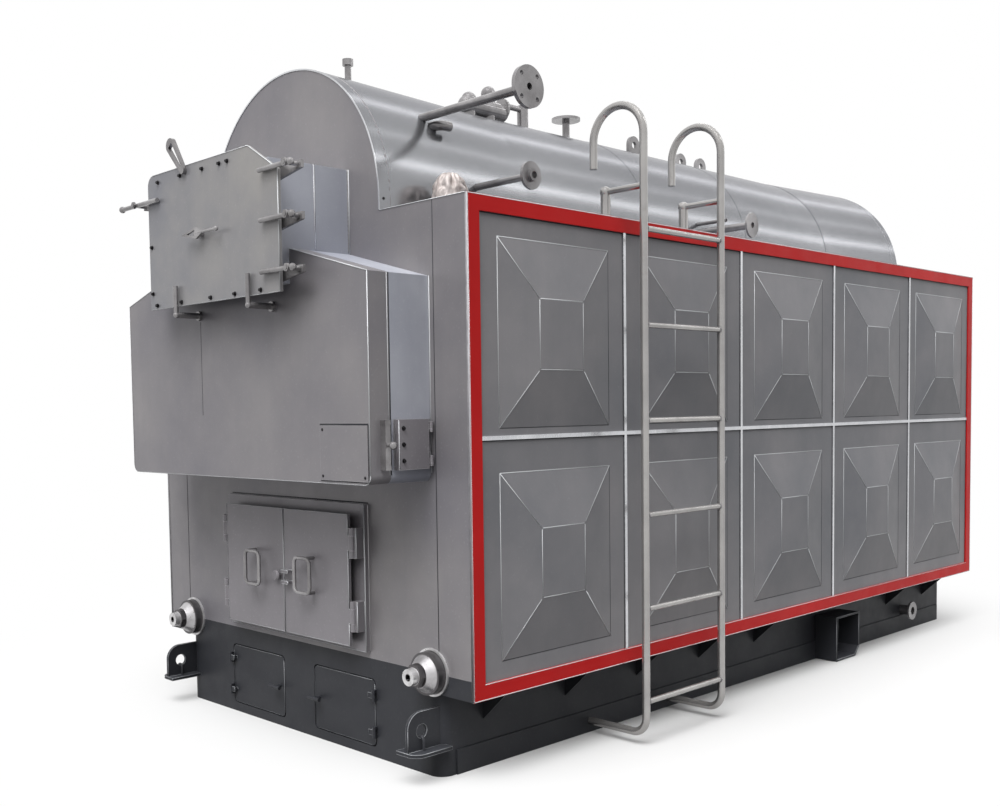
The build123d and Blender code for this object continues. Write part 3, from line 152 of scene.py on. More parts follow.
def turned(bm, profile, place, axis, steps):
    """Solid of revolution: profile is (radius, height) along axis, from place outward."""
    axis = Vector(axis).normalized()
    side = axis.orthogonal().normalized()
    other = axis.cross(side)
    rings = []
    for radius, height in profile:
        centre = Vector(place) + axis * height
        if radius < 1e-6:
            rings.append([bm.verts.new(centre)])
            continue
        offsets = (side * math.cos(t) * radius + other * math.sin(t) * radius for t in angles(steps))
        rings.append([bm.verts.new(centre + offset) for offset in offsets])
    for low, high in zip(rings, rings[1:]):
        if len(high) > 1:
            skin(bm, low, high)
            continue
        for k in range(steps):
            bm.faces.new((low[k], low[(k + 1) % steps], high[0]))


def hex_bolt(bm, place, axis, across, height):
    """Chamfered hexagon head with a dished top on a washer."""
    rim = across * WASHER_REACH
    thick = height * WASHER_THICK
    turned(bm, ((rim, 0), (rim, thick * 0.8), (rim * 0.96, thick), (0, thick)), place, axis, 20)
    place = Vector(place) + Vector(axis).normalized() * thick
    corner = across / math.sqrt(3)
    flat = corner * 0.93
    turned(bm, ((corner, 0), (corner, height * 0.82), (flat, height), (0, height * 0.97)), place, axis, 6)


def rivet(bm, place, axis, radius):
    """Low domed head."""
    rise = radius * RIVET_RISE
    profile = [(radius * math.cos(t), rise * math.sin(t)) for t in (0, 0.4, 0.8, 1.2)]
    turned(bm, profile + [(0, rise)], place, axis, 14)


def bar_between(bm, start, end, width, height, up):
    """Straight flat bar with chamfered top edges, lying on the line from start to end."""
    start, end, up = Vector(start), Vector(end), Vector(up).normalized()
    along = (end - start).normalized()
    side = along.cross(up)
    half = width / 2
    cut = min(width, height) * BAR_CHAMFER
    outline = ((-half, 0), (-half, height - cut), (-half + cut, height), (half - cut, height),
               (half, height - cut), (half, 0))
    first, last = ([bm.verts.new(point + side * u + up * v) for u, v in outline] for point in (start, end))
    skin(bm, first, last)
    cap(bm, first, last)


def post(bm, x, y, low, high, width, height, up):
    """Upright bar at x and y from the low to the high z."""
    bar_between(bm, (x, y, low), (x, y, high), width, height, up)


def bead(bm, points, radius, seed, closed=False):
    """Weld bead: a lumpy round ridge that follows the points."""
    points = [Vector(p) for p in points]
    if closed:
        points.append(points[0])
    path = []
    for a, b in zip(points, points[1:]):
        count = max(1, int((b - a).length / BEAD_STEP))
        path += [a.lerp(b, k / count) for k in range(count)]
    if not closed:
        path.append(points[-1])
    rings = []
    for k, point in enumerate(path):
        after = path[(k + 1) % len(path)] if closed else path[min(k + 1, len(path) - 1)]
        before = path[k - 1] if closed else path[max(k - 1, 0)]
        along = (after - before).normalized()
        side = along.orthogonal() if abs(along.z) > BEAD_STEEP else along.cross(Vector((0, 0, 1)))
        side = side.normalized()
        other = along.cross(side)
        swell = 1 + BEAD_RIPPLE * math.sin(k * 2.1 + seed) + BEAD_RIPPLE * 0.6 * noise.noise(point * 60)
        size = radius * swell
        rings.append([bm.verts.new(point + (side * math.cos(t) + other * math.sin(t)) * size)
                      for t in angles(BEAD_SIDES)])
    for low, high in zip(rings, rings[1:]):
        skin(bm, low, high)
    if closed:
        skin(bm, rings[-1], rings[0])
    else:
        bm.faces.new(list(reversed(rings[0])))
        bm.faces.new(rings[-1])


def creases(node, low, high):
    """Edges of a node whose faces meet at an angle from low to high, each with both normals."""
    bm = bmesh.new()
    bm.from_mesh(NODES[node].data)
    bmesh.ops.remove_doubles(bm, verts=bm.verts, dist=SAME_PLACE)
    bm.normal_update()
    found = []
    for edge in bm.edges:
        if len(edge.link_faces) == 2:
            first, second = (face.normal.copy() for face in edge.link_faces)
            if low < first.angle(second, 0.0) < high:
                found.append((edge.verts[0].co.copy(), edge.verts[1].co.copy(), first, second))
    bm.free()
    return found


def facing(axis, first, second):
    """Whether one of two normals points along the axis."""
    return max(first.dot(Vector(axis)), second.dot(Vector(axis))) > SAME_WAY


def edge_lines(name, node, material, axis=None, where=None, width=0.003, body="boiler"):
    """Thin raised lines along square edges, all or those of faces along the axis, at all or some places."""
    bm = bmesh.new()
    for start, end, first, second in creases(node, *SQUARE_EDGES):
        wanted = (axis is None or facing(axis, first, second)) and (where is None or where((start + end) / 2))
        if wanted and (end - start).length > width:
            bar_between(bm, start, end, width, LOW_LINE, first + second)
    add_object(name, bm, material, body)


# Material helpers

# Radius of the mask that turns edges paler, partly as wear and partly as painted highlight
WORN_AND_LIT_EDGE = 0.0045


def linear(red, green, blue):
    """Linear colour of an 8-bit display colour."""
    values = []
    for value in (red, green, blue):
        share = value / 255
        values.append(share / 12.92 if share <= 0.04045 else ((share + 0.055) / 1.055) ** 2.4)
    return (*values, 1.0)


def new_node(tree, kind, values=None, **settings):
    """New shader node with its settings, and values on its own sockets by name or number."""
    made = tree.nodes.new("ShaderNode" + kind)
    for key, value in settings.items():
        setattr(made, key, value)
    for key, value in (values or {}).items():
        made.inputs[key].default_value = value
    return made


class Tree:
    """Node tree of one material, with short calls for the nodes it uses."""

    def __init__(self, name):
        self.material = bpy.data.materials.new(name)
        self.material.use_nodes = True
        self.tree = self.material.node_tree
        self.shader = self.tree.nodes["Principled BSDF"]
        self.object = self.add("TexCoord").outputs["Object"]

    def add(self, kind, values=None, **settings):
        return new_node(self.tree, kind, values, **settings)

    def link(self, source, target):
        self.tree.links.new(source, target)

    def set(self, **values):
        for key, value in values.items():
            self.shader.inputs[key.replace("_", " ")].default_value = value

    def stretched(self, scale):
        mapping = self.add("Mapping", {"Scale": scale})
        self.link(self.object, mapping.inputs["Vector"])
        return mapping.outputs["Vector"]

    def noise(self, scale, detail=4.0, roughness=0.55, stretch=None, distortion=0.0):
        made = self.add("TexNoise", {"Scale": scale, "Detail": detail, "Roughness": roughness,
                                     "Distortion": distortion})
        self.link(self.stretched(stretch) if stretch else self.object, made.inputs["Vector"])
        return made.outputs["Fac"]

    def ramp(self, factor, *stops):
        """Colour that runs through the stops, each a position and a colour."""
        made = self.add("ValToRGB")
        ramp = made.color_ramp
        ramp.elements[0].position, ramp.elements[0].color = stops[0]
        ramp.elements[1].position, ramp.elements[1].color = stops[-1]
        for position, color in stops[1:-1]:
            ramp.elements.new(position).color = color
        self.link(factor, made.inputs["Fac"])
        return made.outputs["Color"]

    def remap(self, factor, low, high, from_low=0.3, from_high=0.7):
        """The factor's range carried to low and high, and cut off there."""
        made = self.add("MapRange", {"From Min": from_low, "From Max": from_high,
                                     "To Min": low, "To Max": high})
        self.link(factor, made.inputs["Value"])
        return made.outputs["Result"]

    def mix(self, factor, color, other):
        """The colour, turned into the other constant one where the factor is high."""
        made = self.add("Mix", {7: other}, data_type="RGBA")
        self.link(factor, made.inputs["Factor"])
        self.link(color, made.inputs[6])
        return made.outputs[2]

    def math(self, operation, a, b):
        made = self.add("Math", operation=operation)
        for socket, value in ((made.inputs[0], a), (made.inputs[1], b)):
            if isinstance(value, float):
                socket.default_value = value
            else:
                self.link(value, socket)
        return made.outputs[0]

    def edges(self):
        """Mask that is one along sharp outer and inner edges."""
        bevel = self.add("Bevel", {"Radius": WORN_AND_LIT_EDGE}, samples=4)
        geometry = self.add("NewGeometry")
        dot = self.add("VectorMath", operation="DOT_PRODUCT")
        self.link(bevel.outputs["Normal"], dot.inputs[0])
        self.link(geometry.outputs["Normal"], dot.inputs[1])
        return self.remap(self.math("SUBTRACT", 1.0, dot.outputs["Value"]), 0.0, 1.0, 0.02, 0.3)

    def bump(self, height, strength, distance, normal=None):
        """Normal bent by a height, over another bent normal if one is given."""
        made = self.add("Bump", {"Strength": strength, "Distance": distance})
        self.link(height, made.inputs["Height"])
        if normal:
            self.link(normal, made.inputs["Normal"])
        return made.outputs["Normal"]

    def finish(self, color, rough, normal):
        for name, value in (("Base Color", color), ("Roughness", rough), ("Normal", normal)):
            self.link(value, self.shader.inputs[name])
        return self.material


def sheet_paint(name, dark, light, wear_and_highlight, rough=(0.36, 0.5), metallic=0.3, wave=0.0012, edge=0.5,
                coat=0.12, coat_rough=0.35, specular=0.4):
    """Satin paint on sheet metal: clouds, upright streaks, edges paler partly as wear and partly as painted
    highlight, slight waves.
    """
    tree = Tree(name)
    tree.set(Metallic=metallic, Coat_Weight=coat, Coat_Roughness=coat_rough, Specular_IOR_Level=specular)
    dark, light, wear_and_highlight = linear(*dark), linear(*light), linear(*wear_and_highlight)
    clouds = tree.noise(1.1, 5.0, 0.6)
    color = tree.ramp(clouds, (0.32, dark), (0.68, light))
    streaks = tree.noise(2.0, 6.0, 0.62, stretch=(7.0, 7.0, 0.35))
    color = tree.mix(tree.remap(streaks, 0.0, 0.16, 0.5, 0.75), color, dark)
    specks = tree.noise(95.0, 2.0, 0.5)
    color = tree.mix(tree.remap(specks, 0.0, 0.10, 0.62, 0.75), color, wear_and_highlight)
    # Edges turned paler by the bevel mask: partly wear, partly painted highlight
    if edge:
        mask = tree.edges()
        broken = tree.math("MULTIPLY", mask, tree.remap(tree.noise(26.0, 4.0), 0.25, 1.0, 0.35, 0.6))
        color = tree.mix(tree.math("MULTIPLY", broken, edge), color, wear_and_highlight)
    roughness = tree.remap(tree.noise(7.0, 6.0, 0.65), *rough)
    normal = tree.bump(tree.noise(1.7, 2.0, 0.4), 0.6, wave)
    normal = tree.bump(tree.noise(420.0, 2.0), 0.10, 0.0004, normal)
    return tree.finish(color, roughness, normal)


def bright_metal(name, dark, light, rough=(0.2, 0.34), stain=None, metallic=1.0, depth=0.08):
    """Ground or drawn steel: fine lines along its length, stains and dull patches."""
    tree = Tree(name)
    tree.set(Metallic=metallic)
    color = tree.ramp(tree.noise(5.0, 6.0, 0.6), (0.3, linear(*dark)), (0.7, linear(*light)))
    if stain:
        patches = tree.remap(tree.noise(11.0, 8.0, 0.7), 0.0, 0.5, 0.55, 0.75)
        color = tree.mix(patches, color, linear(*stain))
    lines = tree.noise(14.0, 8.0, 0.7, stretch=(60.0, 60.0, 4.0))
    roughness = tree.remap(lines, *rough)
    normal = tree.bump(lines, depth, 0.0004)
    return tree.finish(color, roughness, normal)


def drum_sheet():
    """Rolled stainless sheet: long soft grain round the drum, faint waves."""
    tree = Tree("drum_sheet")
    tree.set(Metallic=0.9, Specular_Tint=(0.68, 0.68, 0.70, 1.0))
    clouds = tree.noise(1.3, 5.0, 0.6, stretch=(1.0, 0.5, 1.0))
    color = tree.ramp(clouds, (0.3, linear(130, 131, 134)), (0.7, linear(147, 148, 151)))
    grain = tree.noise(30.0, 8.0, 0.7, stretch=(1.0, 24.0, 1.0))
    roughness = tree.remap(grain, 0.17, 0.25)
    normal = tree.bump(tree.noise(1.4, 2.0, 0.4, stretch=(1.0, 0.6, 1.0)), 0.3, 0.004)
    normal = tree.bump(grain, 0.04, 0.0004, normal)
    return tree.finish(color, roughness, normal)


def red_paint():
    """Plain enamel, slightly clouded and chipped."""
    tree = Tree("red_paint")
    tree.set(Coat_Weight=0.03, Coat_Roughness=0.25, Specular_IOR_Level=0.1)
    color = tree.ramp(tree.noise(1.6, 5.0, 0.6), (0.3, linear(164, 22, 23)), (0.7, linear(180, 28, 28)))
    chips = tree.noise(120.0, 3.0, 0.6)
    color = tree.mix(tree.remap(chips, 0.0, 0.3, 0.7, 0.78), color, linear(130, 26, 26))
    roughness = tree.remap(tree.noise(9.0, 6.0), 0.34, 0.5)
    normal = tree.bump(tree.noise(320.0, 2.0), 0.12, 0.0004)
    return tree.finish(color, roughness, normal)


# Ring colours of the grate tensioners, from the middle out, each at a share of their radius
TENSIONER_RADIUS = 0.1
DARK_RING = (84, 82, 84)
PALE_RING = (176, 174, 176)
BRIGHT_RING = (206, 205, 206)
TENSIONER_RINGS = (
    (0.0, (24, 24, 26)), (0.13, (30, 30, 32)), (0.16, BRIGHT_RING), (0.33, BRIGHT_RING),
    (0.36, DARK_RING), (0.47, DARK_RING), (0.50, PALE_RING), (0.72, PALE_RING),
    (0.76, DARK_RING), (0.85, DARK_RING), (0.88, BRIGHT_RING), (1.0, BRIGHT_RING),
)


def tensioner_steel():
    """Turned steel that changes from ring to ring: pale cone, dark drum and nut, bright flange rim."""
    tree = Tree("tensioner_steel")
    tree.set(Metallic=0.75)
    folded = tree.add("VectorMath", operation="ABSOLUTE")
    tree.link(tree.object, folded.inputs[0])
    offset = tree.add("VectorMath", {1: (CUP_X, 0.0, CUP_Z)}, operation="SUBTRACT")
    tree.link(folded.outputs[0], offset.inputs[0])
    flat = tree.add("VectorMath", {1: (1.0, 0.0, 1.0)}, operation="MULTIPLY")
    tree.link(offset.outputs[0], flat.inputs[0])
    radius = tree.add("VectorMath", operation="LENGTH")
    tree.link(flat.outputs[0], radius.inputs[0])
    share = tree.math("DIVIDE", radius.outputs["Value"], TENSIONER_RADIUS)
    rings = tree.ramp(share, *((position, linear(*color)) for position, color in TENSIONER_RINGS))
    color = tree.mix(tree.remap(tree.noise(24.0, 6.0), 0.0, 0.35, 0.45, 0.7), rings, linear(96, 92, 90))
    roughness = tree.remap(tree.noise(60.0, 4.0), 0.26, 0.44)
    return tree.finish(color, roughness, tree.bump(tree.noise(90.0, 4.0), 0.15, 0.0004))


def cast_iron():
    """Rough cast iron with rust in patches."""
    tree = Tree("grate_iron")
    tree.set(Metallic=0.55)
    color = tree.ramp(tree.noise(9.0, 8.0, 0.65), (0.3, linear(58, 55, 53)), (0.7, linear(86, 82, 78)))
    rust = tree.noise(4.0, 8.0, 0.7)
    color = tree.mix(tree.remap(rust, 0.0, 0.5, 0.55, 0.72), color, linear(94, 62, 46))
    roughness = tree.remap(tree.noise(30.0, 6.0), 0.55, 0.8)
    normal = tree.bump(tree.noise(260.0, 4.0, 0.6), 0.5, 0.0012)
    return tree.finish(color, roughness, normal)


def firebrick():
    """Refractory bricks in mortar, sooted in patches."""
    tree = Tree("firebrick")
    upright = tree.add("Mapping", {"Rotation": (math.pi / 2, 0.0, math.pi / 2)})
    tree.link(tree.object, upright.inputs["Vector"])
    bricks = tree.add("TexBrick", {
        "Scale": 4.3, "Brick Width": 1.0, "Row Height": 0.33, "Bias": 0.0,
        "Mortar Size": 0.012, "Mortar Smooth": 0.3, "Mortar": linear(120, 104, 88),
        "Color1": linear(205, 176, 134), "Color2": linear(184, 150, 110),
    })
    tree.link(upright.outputs["Vector"], bricks.inputs["Vector"])
    soot = tree.remap(tree.noise(3.0, 6.0, 0.65), 0.15, 0.85, 0.35, 0.65)
    color = tree.mix(soot, bricks.outputs["Color"], linear(52, 46, 42))
    roughness = tree.remap(tree.noise(20.0, 4.0), 0.75, 0.95)
    normal = tree.bump(bricks.outputs["Fac"], 0.8, -0.004)
    normal = tree.bump(tree.noise(150.0, 5.0), 0.5, 0.0015, normal)
    return tree.finish(color, roughness, normal)


def foil():
    """Crumpled foil lagging with dull patches."""
    tree = Tree("lagging_foil")
    tree.set(Metallic=0.6)
    color = tree.ramp(tree.noise(34.0, 5.0, 0.6, stretch=(1.0, 1.0, 0.4)), (0.34, linear(134, 125, 122)),
                      (0.7, linear(192, 184, 181)))
    roughness = tree.remap(tree.noise(30.0, 5.0), 0.3, 0.55)
    normal = tree.bump(tree.noise(60.0, 6.0, 0.7, distortion=1.2), 0.7, 0.003)
    return tree.finish(color, roughness, normal)


WARM_PAINT = sheet_paint("front_paint", (102, 100, 106), (127, 124, 125), (182, 180, 183))
SIDE_PAINT = sheet_paint("side_paint", (134, 137, 148), (164, 166, 174), (206, 206, 210))
DOOR_SHEET = sheet_paint("smoke_door_paint", (108, 109, 116), (148, 145, 141), (196, 196, 197),
                         rough=(0.3, 0.42), metallic=0.35)
CASING_PAINT = sheet_paint("casing_paint", (110, 111, 117), (128, 129, 135), (192, 192, 196))
PANEL_PAINT = sheet_paint("panel_paint", (102, 103, 107), (127, 125, 127), (154, 155, 158),
                          rough=(0.34, 0.44), metallic=0.0, edge=0, coat=0.06, coat_rough=0.2, specular=0.12)
DOOR_PAINT = sheet_paint("door_paint", (108, 105, 109), (124, 121, 125), (200, 199, 200), edge=0.7)
BASE_PAINT = sheet_paint("base_paint", (36, 37, 41), (47, 48, 52), (96, 98, 100),
                         rough=(0.42, 0.6), metallic=0.05, edge=0, coat=0.03, specular=0.2)
# Dark for real seams, joints and gaps, and for painted shadow lines
SEAM_AND_SHADOW_DARK = sheet_paint("seam_and_shadow_dark", (26, 27, 31), (38, 39, 43), (60, 60, 64),
                        metallic=0.0, wave=0.0, edge=0, coat=0.0, specular=0.2)
# Painted highlight: pale lines on lit edges, corners and folds
PALE_HIGHLIGHT = sheet_paint("pale_highlight", (158, 160, 162), (180, 182, 184), (204, 204, 206), wave=0.0, edge=0)
# Painted highlight: greyer lines along the edges of the base's doors, the tow brackets and the air duct
ASH_EDGE_HIGHLIGHT = sheet_paint("charcoal_edge_highlight", (92, 94, 97), (112, 114, 117), (140, 142, 144),
                       metallic=0.2, wave=0.0, edge=0)
DRUM = drum_sheet()
RED = red_paint()
STEEL = bright_metal("bright_steel", (104, 102, 103), (158, 156, 157), (0.1, 0.2),
                     stain=(76, 70, 68), metallic=0.65)
# Bright steel of the real trim strips, lips and seams, also used for the painted highlight lines round the
# red frames
TRIM_AND_HIGHLIGHT = bright_metal("trim_steel_and_highlight", (186, 187, 190), (212, 213, 216), (0.18, 0.3), metallic=0.8)
LADDER = bright_metal("ladder_steel", (150, 148, 147), (170, 168, 166), (0.12, 0.22),
                      stain=(138, 133, 130), metallic=0.75, depth=0.01)
BOLT = bright_metal("bolt_black", (34, 33, 35), (58, 57, 59), (0.35, 0.55))
WELD = bright_metal("weld_bead", (118, 116, 118), (150, 148, 150), (0.34, 0.5))
GRATE = cast_iron()
BRICK = firebrick()
FOIL = foil()
TENSIONER = tensioner_steel()

FINISH = {
    WARM_PAINT: ("front_wall", "hopper_cover", "access_panel"),
    DOOR_SHEET: ("smoke_door",),
    SIDE_PAINT: ("smoke_box", "hopper_collar"),
    CASING_PAINT: ("rear_wall", "right_casing", "left_casing", "right_roof", "left_roof", "flue_outlet",
                   "rear_cover"),
    PANEL_PAINT: ("right_panels", "left_panels"),
    DOOR_PAINT: ("fire_frame", "fire_door_right", "fire_door_left", "hatch_frame", "hatch_door"),
    BASE_PAINT: ("base_front", "base_back", "base_right_side", "base_left_side", "base_floor", "floor_deck",
                 "right_gussets", "left_gussets", "air_duct", "ash_door_right", "ash_door_left",
                 "tow_brackets"),
    DRUM: ("drum_casing",),
    RED: ("right_frame", "left_frame"),
    TRIM_AND_HIGHLIGHT: ("right_strips", "left_strips"),
    LADDER: ("ladder_rails", "ladder_rungs", "ladder_braces"),
    STEEL: ("steam_outlet", "side_branches", "top_stubs", "lifting_lugs", "door_dogs", "hatch_latch",
            "fire_handle_right", "fire_handle_left", "valve_header"),
    TENSIONER: ("grate_tensioners",),
    GRATE: ("chain_grate", "grate_shafts"),
    BRICK: ("furnace_lining",),
    FOIL: ("lagged_stub",),
}

# Nodes whose edges above an angle are rounded, by the width of the rounding
ROUNDED_ABOVE = 32
ROUNDED = {
    0.0030: ("right_panels", "left_panels"),
    0.0020: ("right_frame", "left_frame", "hopper_collar", "hopper_cover", "smoke_box", "smoke_door",
             "fire_frame", "fire_door_right", "fire_door_left", "ash_door_right", "ash_door_left",
             "base_right_side", "base_left_side", "air_duct", "rear_cover", "flue_outlet", "hatch_door",
             "hatch_frame", "hatch_latch", "front_wall", "access_panel", "base_front"),
    0.0012: ("tow_brackets", "grate_tensioners", "door_dogs", "lifting_lugs", "chain_grate"),
}


def dress_nodes():
    """Give every CAD node its material, and most of them small rounded edges."""
    for material, names in FINISH.items():
        for name in names:
            node = NODES[name]
            node.data.materials.clear()
            node.data.materials.append(material)
    for width, names in ROUNDED.items():
        for name in names:
            bevel = NODES[name].modifiers.new("edge", "BEVEL")
            bevel.width = width
            bevel.segments = 2
            bevel.limit_method = "ANGLE"
            bevel.angle_limit = math.radians(ROUNDED_ABOVE)
            bevel.harden_normals = True


# Drum casing: end sheets, lips, laps and screws

RIM_SHEET = 0.0014
LIP_DEPTH = 0.005
LIP_BACK = 0.0003
LIP_FRONT = 0.0024
LAPS = 5
LAP_SHEET = 0.0008
LAP_WIDTH = 0.010
SCREW_INSET = 0.022
SCREW_RADIUS = 0.006
SCREW_Z = 2.28
DRUM_STEPS = 72
CRISP = 30


def drum_sweep(bm, section):
    """Closed section of (radius, y) points carried round the drum from one roof to the other."""
    rings = []
    for k in range(-1, DRUM_STEPS + 2):
        angle = math.pi * min(max(k, 0), DRUM_STEPS) / DRUM_STEPS
        lower = BODY_TOP - DRUM_AXIS if k in (-1, DRUM_STEPS + 1) else 0.0
        points = ((radius * math.cos(angle), y, DRUM_AXIS + radius * math.sin(angle) + lower)
                  for radius, y in section)
        rings.append([bm.verts.new(point) for point in points])
    for low, high in zip(rings, rings[1:]):
        skin(bm, low, high)
    cap(bm, rings[0], rings[-1])


def drum_arc(bm, y0, y1, inner, outer):
    """Curved strip of square section round the drum."""
    drum_sweep(bm, ((inner, y0), (outer, y0), (outer, y1), (inner, y1)))


def drum_cone(bm, end, inward):
    """Sheet over the rim of an end plate that narrows evenly to the drum at the nearest lap."""
    lap = end + inward * (BACK - FRONT) / LAPS
    outline = [(END_RADIUS, end), (DRUM_RADIUS, lap)]
    over = [(radius + RIM_SHEET, y) for radius, y in outline]
    under = [(radius + FACE_GAP, y) for radius, y in reversed(outline)]
    drum_sweep(bm, over + under)


def drum_trim():
    """Sheet over the end plates' rims with a bright lip, thin laps, a screw at each foot."""
    outer = END_RADIUS + RIM_SHEET
    sheet = bmesh.new()
    drum_cone(sheet, FRONT - FACE_GAP, 1)
    drum_cone(sheet, BACK + FACE_GAP, -1)
    add_object("drum_end_bands", sheet, DRUM, sharp=CRISP)
    lips = bmesh.new()
    drum_arc(lips, FRONT - LIP_FRONT, FRONT - LIP_BACK, END_RADIUS - LIP_DEPTH, outer)
    drum_arc(lips, BACK + LIP_BACK, BACK + LIP_FRONT, END_RADIUS - LIP_DEPTH, outer)
    add_object("drum_end_lips", lips, TRIM_AND_HIGHLIGHT, sharp=CRISP)
    laps = bmesh.new()
    inner = DRUM_RADIUS + FACE_GAP
    for k in range(1, LAPS):
        y = FRONT + (BACK - FRONT) * k / LAPS
        drum_arc(laps, y, y + LAP_WIDTH, inner, inner + LAP_SHEET)
    add_object("drum_laps", laps, DRUM, sharp=CRISP)
    screws = bmesh.new()
    for side in (-1, 1):
        for y in (FRONT + SCREW_INSET, BACK - SCREW_INSET):
            rivet(screws, (side * outer, y, SCREW_Z), (side, 0, 0), SCREW_RADIUS)
    add_object("drum_screws", screws, BOLT)


# Side cladding: painted highlight and shadow lines along the red frame, corner strips with a painted
# highlight, painted highlight and shade lines on the pressed panels, painted shadows beside the strips

FRAME_WIDTH = 0.062
# Pale painted-highlight lines on the red frame: width and height, depth sunk, outer and inner insets
FRAME_HIGHLIGHT = (0.003, HIGH_LINE)
FRAME_HIGHLIGHT_SINK = 0.0006
OUTER_HIGHLIGHT = 0.0025
INNER_HIGHLIGHT = FRAME_WIDTH - 0.0015
# Width of the painted shadow line on the sheet inside the frame
SHADOW_GAP = 0.005
SHEET = 0.004
LINE_SINK = 0.0004
SHEET_FACE = CLAD + SHEET - LINE_SINK
CORNER_SINK = 0.0014
CORNER_LINE = (0.003, MID_LINE)


def frame_highlights_and_shadows():
    """Painted highlight: pale lines round the red frames and along their lower bars. Painted shadow: dark
    line on the sheet inside the frames' front, top and back bars.
    """
    for side, name in SIDES:
        up = (side, 0, 0)
        # Painted highlight all round the frame's outer edge and along its lower bar's inner edge
        pale = bmesh.new()
        x = side * (HALF - FRAME_HIGHLIGHT_SINK)
        for inset, count in ((OUTER_HIGHLIGHT, 4), (INNER_HIGHLIGHT, 1)):
            y0, y1 = FRONT + inset, BACK - inset
            z0, z1 = BODY_BOTTOM + inset, BODY_TOP - inset
            corners = ((x, y0, z0), (x, y1, z0), (x, y1, z1), (x, y0, z1))
            for a, b in list(zip(corners, corners[1:] + corners[:1]))[:count]:
                bar_between(pale, a, b, *FRAME_HIGHLIGHT, up)
        # Painted shadow inside the frame's front, top and back bars
        dark = bmesh.new()
        x = side * SHEET_FACE
        y0, y1 = FRONT + FRAME_WIDTH + SHADOW_GAP / 2, BACK - FRAME_WIDTH - SHADOW_GAP / 2
        z0, z1 = BODY_BOTTOM + FRAME_WIDTH, BODY_TOP - FRAME_WIDTH - SHADOW_GAP / 2
        corners = ((x, y0, z0), (x, y0, z1), (x, y1, z1), (x, y1, z0))
        for a, b in zip(corners, corners[1:]):
            bar_between(dark, a, b, SHADOW_GAP, MID_LINE, up)
        add_object(name + "_frame_highlights", pale, TRIM_AND_HIGHLIGHT)
        add_object(name + "_frame_shadow", dark, SEAM_AND_SHADOW_DARK)


def corner_strips():
    """Grey sheet lapped over the red frames' ends, with a pale line along the folded corner as a painted
    highlight.
    """
    grey = bmesh.new()
    pale = bmesh.new()
    for side in (-1, 1):
        x = side * (CLAD + HALF) / 2
        edge = side * (HALF - CORNER_SINK)
        for y, out in ENDS:
            up = (0, out, 0)
            post(grey, x, y, BODY_BOTTOM, BODY_TOP, HALF - CLAD, HIGH_LINE, up)
            # Painted highlight along the folded corner
            post(pale, edge, y + out * MID_LINE, BODY_BOTTOM, BODY_TOP, *CORNER_LINE, up)
    add_object("corner_strips", grey, WARM_PAINT)
    add_object("corner_lines", pale, PALE_HIGHLIGHT)


FOLD_WIDTH = 0.0034
FOLD_SHADOW = 0.7
FOLD_OUTWARD = 0.5
FOLD_LEAN = 0.02
CREST_LINE = 0.0005
CREST_REACH = 0.0005
CREST_STEP = 0.05


def clear_of_crest(place, other, crest):
    """The place, or one a little down the fold if it lies at the top of the pressing."""
    return place.lerp(other, CREST_STEP) if abs(place.x) > crest else place


def crest_line(bm, start, end, slope):
    """Pale painted-highlight line on the slope just below the flat top of a pressing, no higher than that
    top.
    """
    down = (end - start).cross(slope).normalized()
    if down.x * slope.x > 0:
        down = -down
    drop = FOLD_WIDTH / 2 + CREST_LINE * abs(slope.x) / math.sqrt(1 - slope.x ** 2)
    bar_between(bm, start + down * drop, end + down * drop, FOLD_WIDTH, CREST_LINE, slope)


def panel_folds():
    """Painted highlight: pale lines on the pressed folds. Painted shade: dark lines along the foot of each
    pressing that faces down or back.
    """
    for side, name in SIDES:
        pale = bmesh.new()
        dark = bmesh.new()
        crest = max(abs(x) for x in span(name + "_panels", X)) - CREST_REACH
        for start, end, first, second in creases(name + "_panels", *PRESSED_FOLDS):
            out = (first + second).normalized()
            if out.x * side < FOLD_OUTWARD:
                continue
            if min(abs(start.x), abs(end.x)) > crest:
                crest_line(pale, start, end, first if abs(first.x) < abs(second.x) else second)
                continue
            start, end = clear_of_crest(start, end, crest), clear_of_crest(end, start, crest)
            foot = abs(start.x) < HALF and abs(end.x) < HALF
            # Painted shade where the fold faces down or back, painted highlight elsewhere
            if foot and (out.z < -FOLD_LEAN or out.y > FOLD_LEAN):
                bar_between(dark, start, end, FOLD_WIDTH * FOLD_SHADOW, LOW_LINE, out)
            else:
                bar_between(pale, start, end, FOLD_WIDTH, LOW_LINE, out)
        add_object(name + "_folds", pale, PALE_HIGHLIGHT)
        add_object(name + "_fold_shadows", dark, SEAM_AND_SHADOW_DARK)


STRIP_FACE = span("right_strips", X)[1] - 0.001
STRIP_LENGTH = 0.2
STRIP_FACING = 0.5
STRIP_SHIFT = 0.0022
STRIP_SHADOW = (0.0045, MID_LINE)


def strip_shadows():
    """Painted shadow: dark line beside each upright cover strip and under the level one."""
    for side, name in SIDES:
        bm = bmesh.new()
        x = side * SHEET_FACE
        for start, end, first, second in creases(name + "_strips", *SQUARE_EDGES):
            out = first + second
            outer = abs(start.x) > STRIP_FACE and abs(end.x) > STRIP_FACE
            upright = abs(end.z - start.z) > STRIP_LENGTH and out.y < -STRIP_FACING
            level = abs(end.y - start.y) > STRIP_LENGTH and out.z < -STRIP_FACING
            if outer and (upright or level):
                shift = Vector((0, -STRIP_SHIFT, 0)) if upright else Vector((0, 0, -STRIP_SHIFT))
                a, b = start + shift, end + shift
                bar_between(bm, (x, a.y, a.z), (x, b.y, b.z), *STRIP_SHADOW, (side, 0, 0))
        add_object(name + "_strip_shadows", bm, SEAM_AND_SHADOW_DARK)


# Smoke box and its door: bolts along the door's edge, painted highlights along its edges, and seams

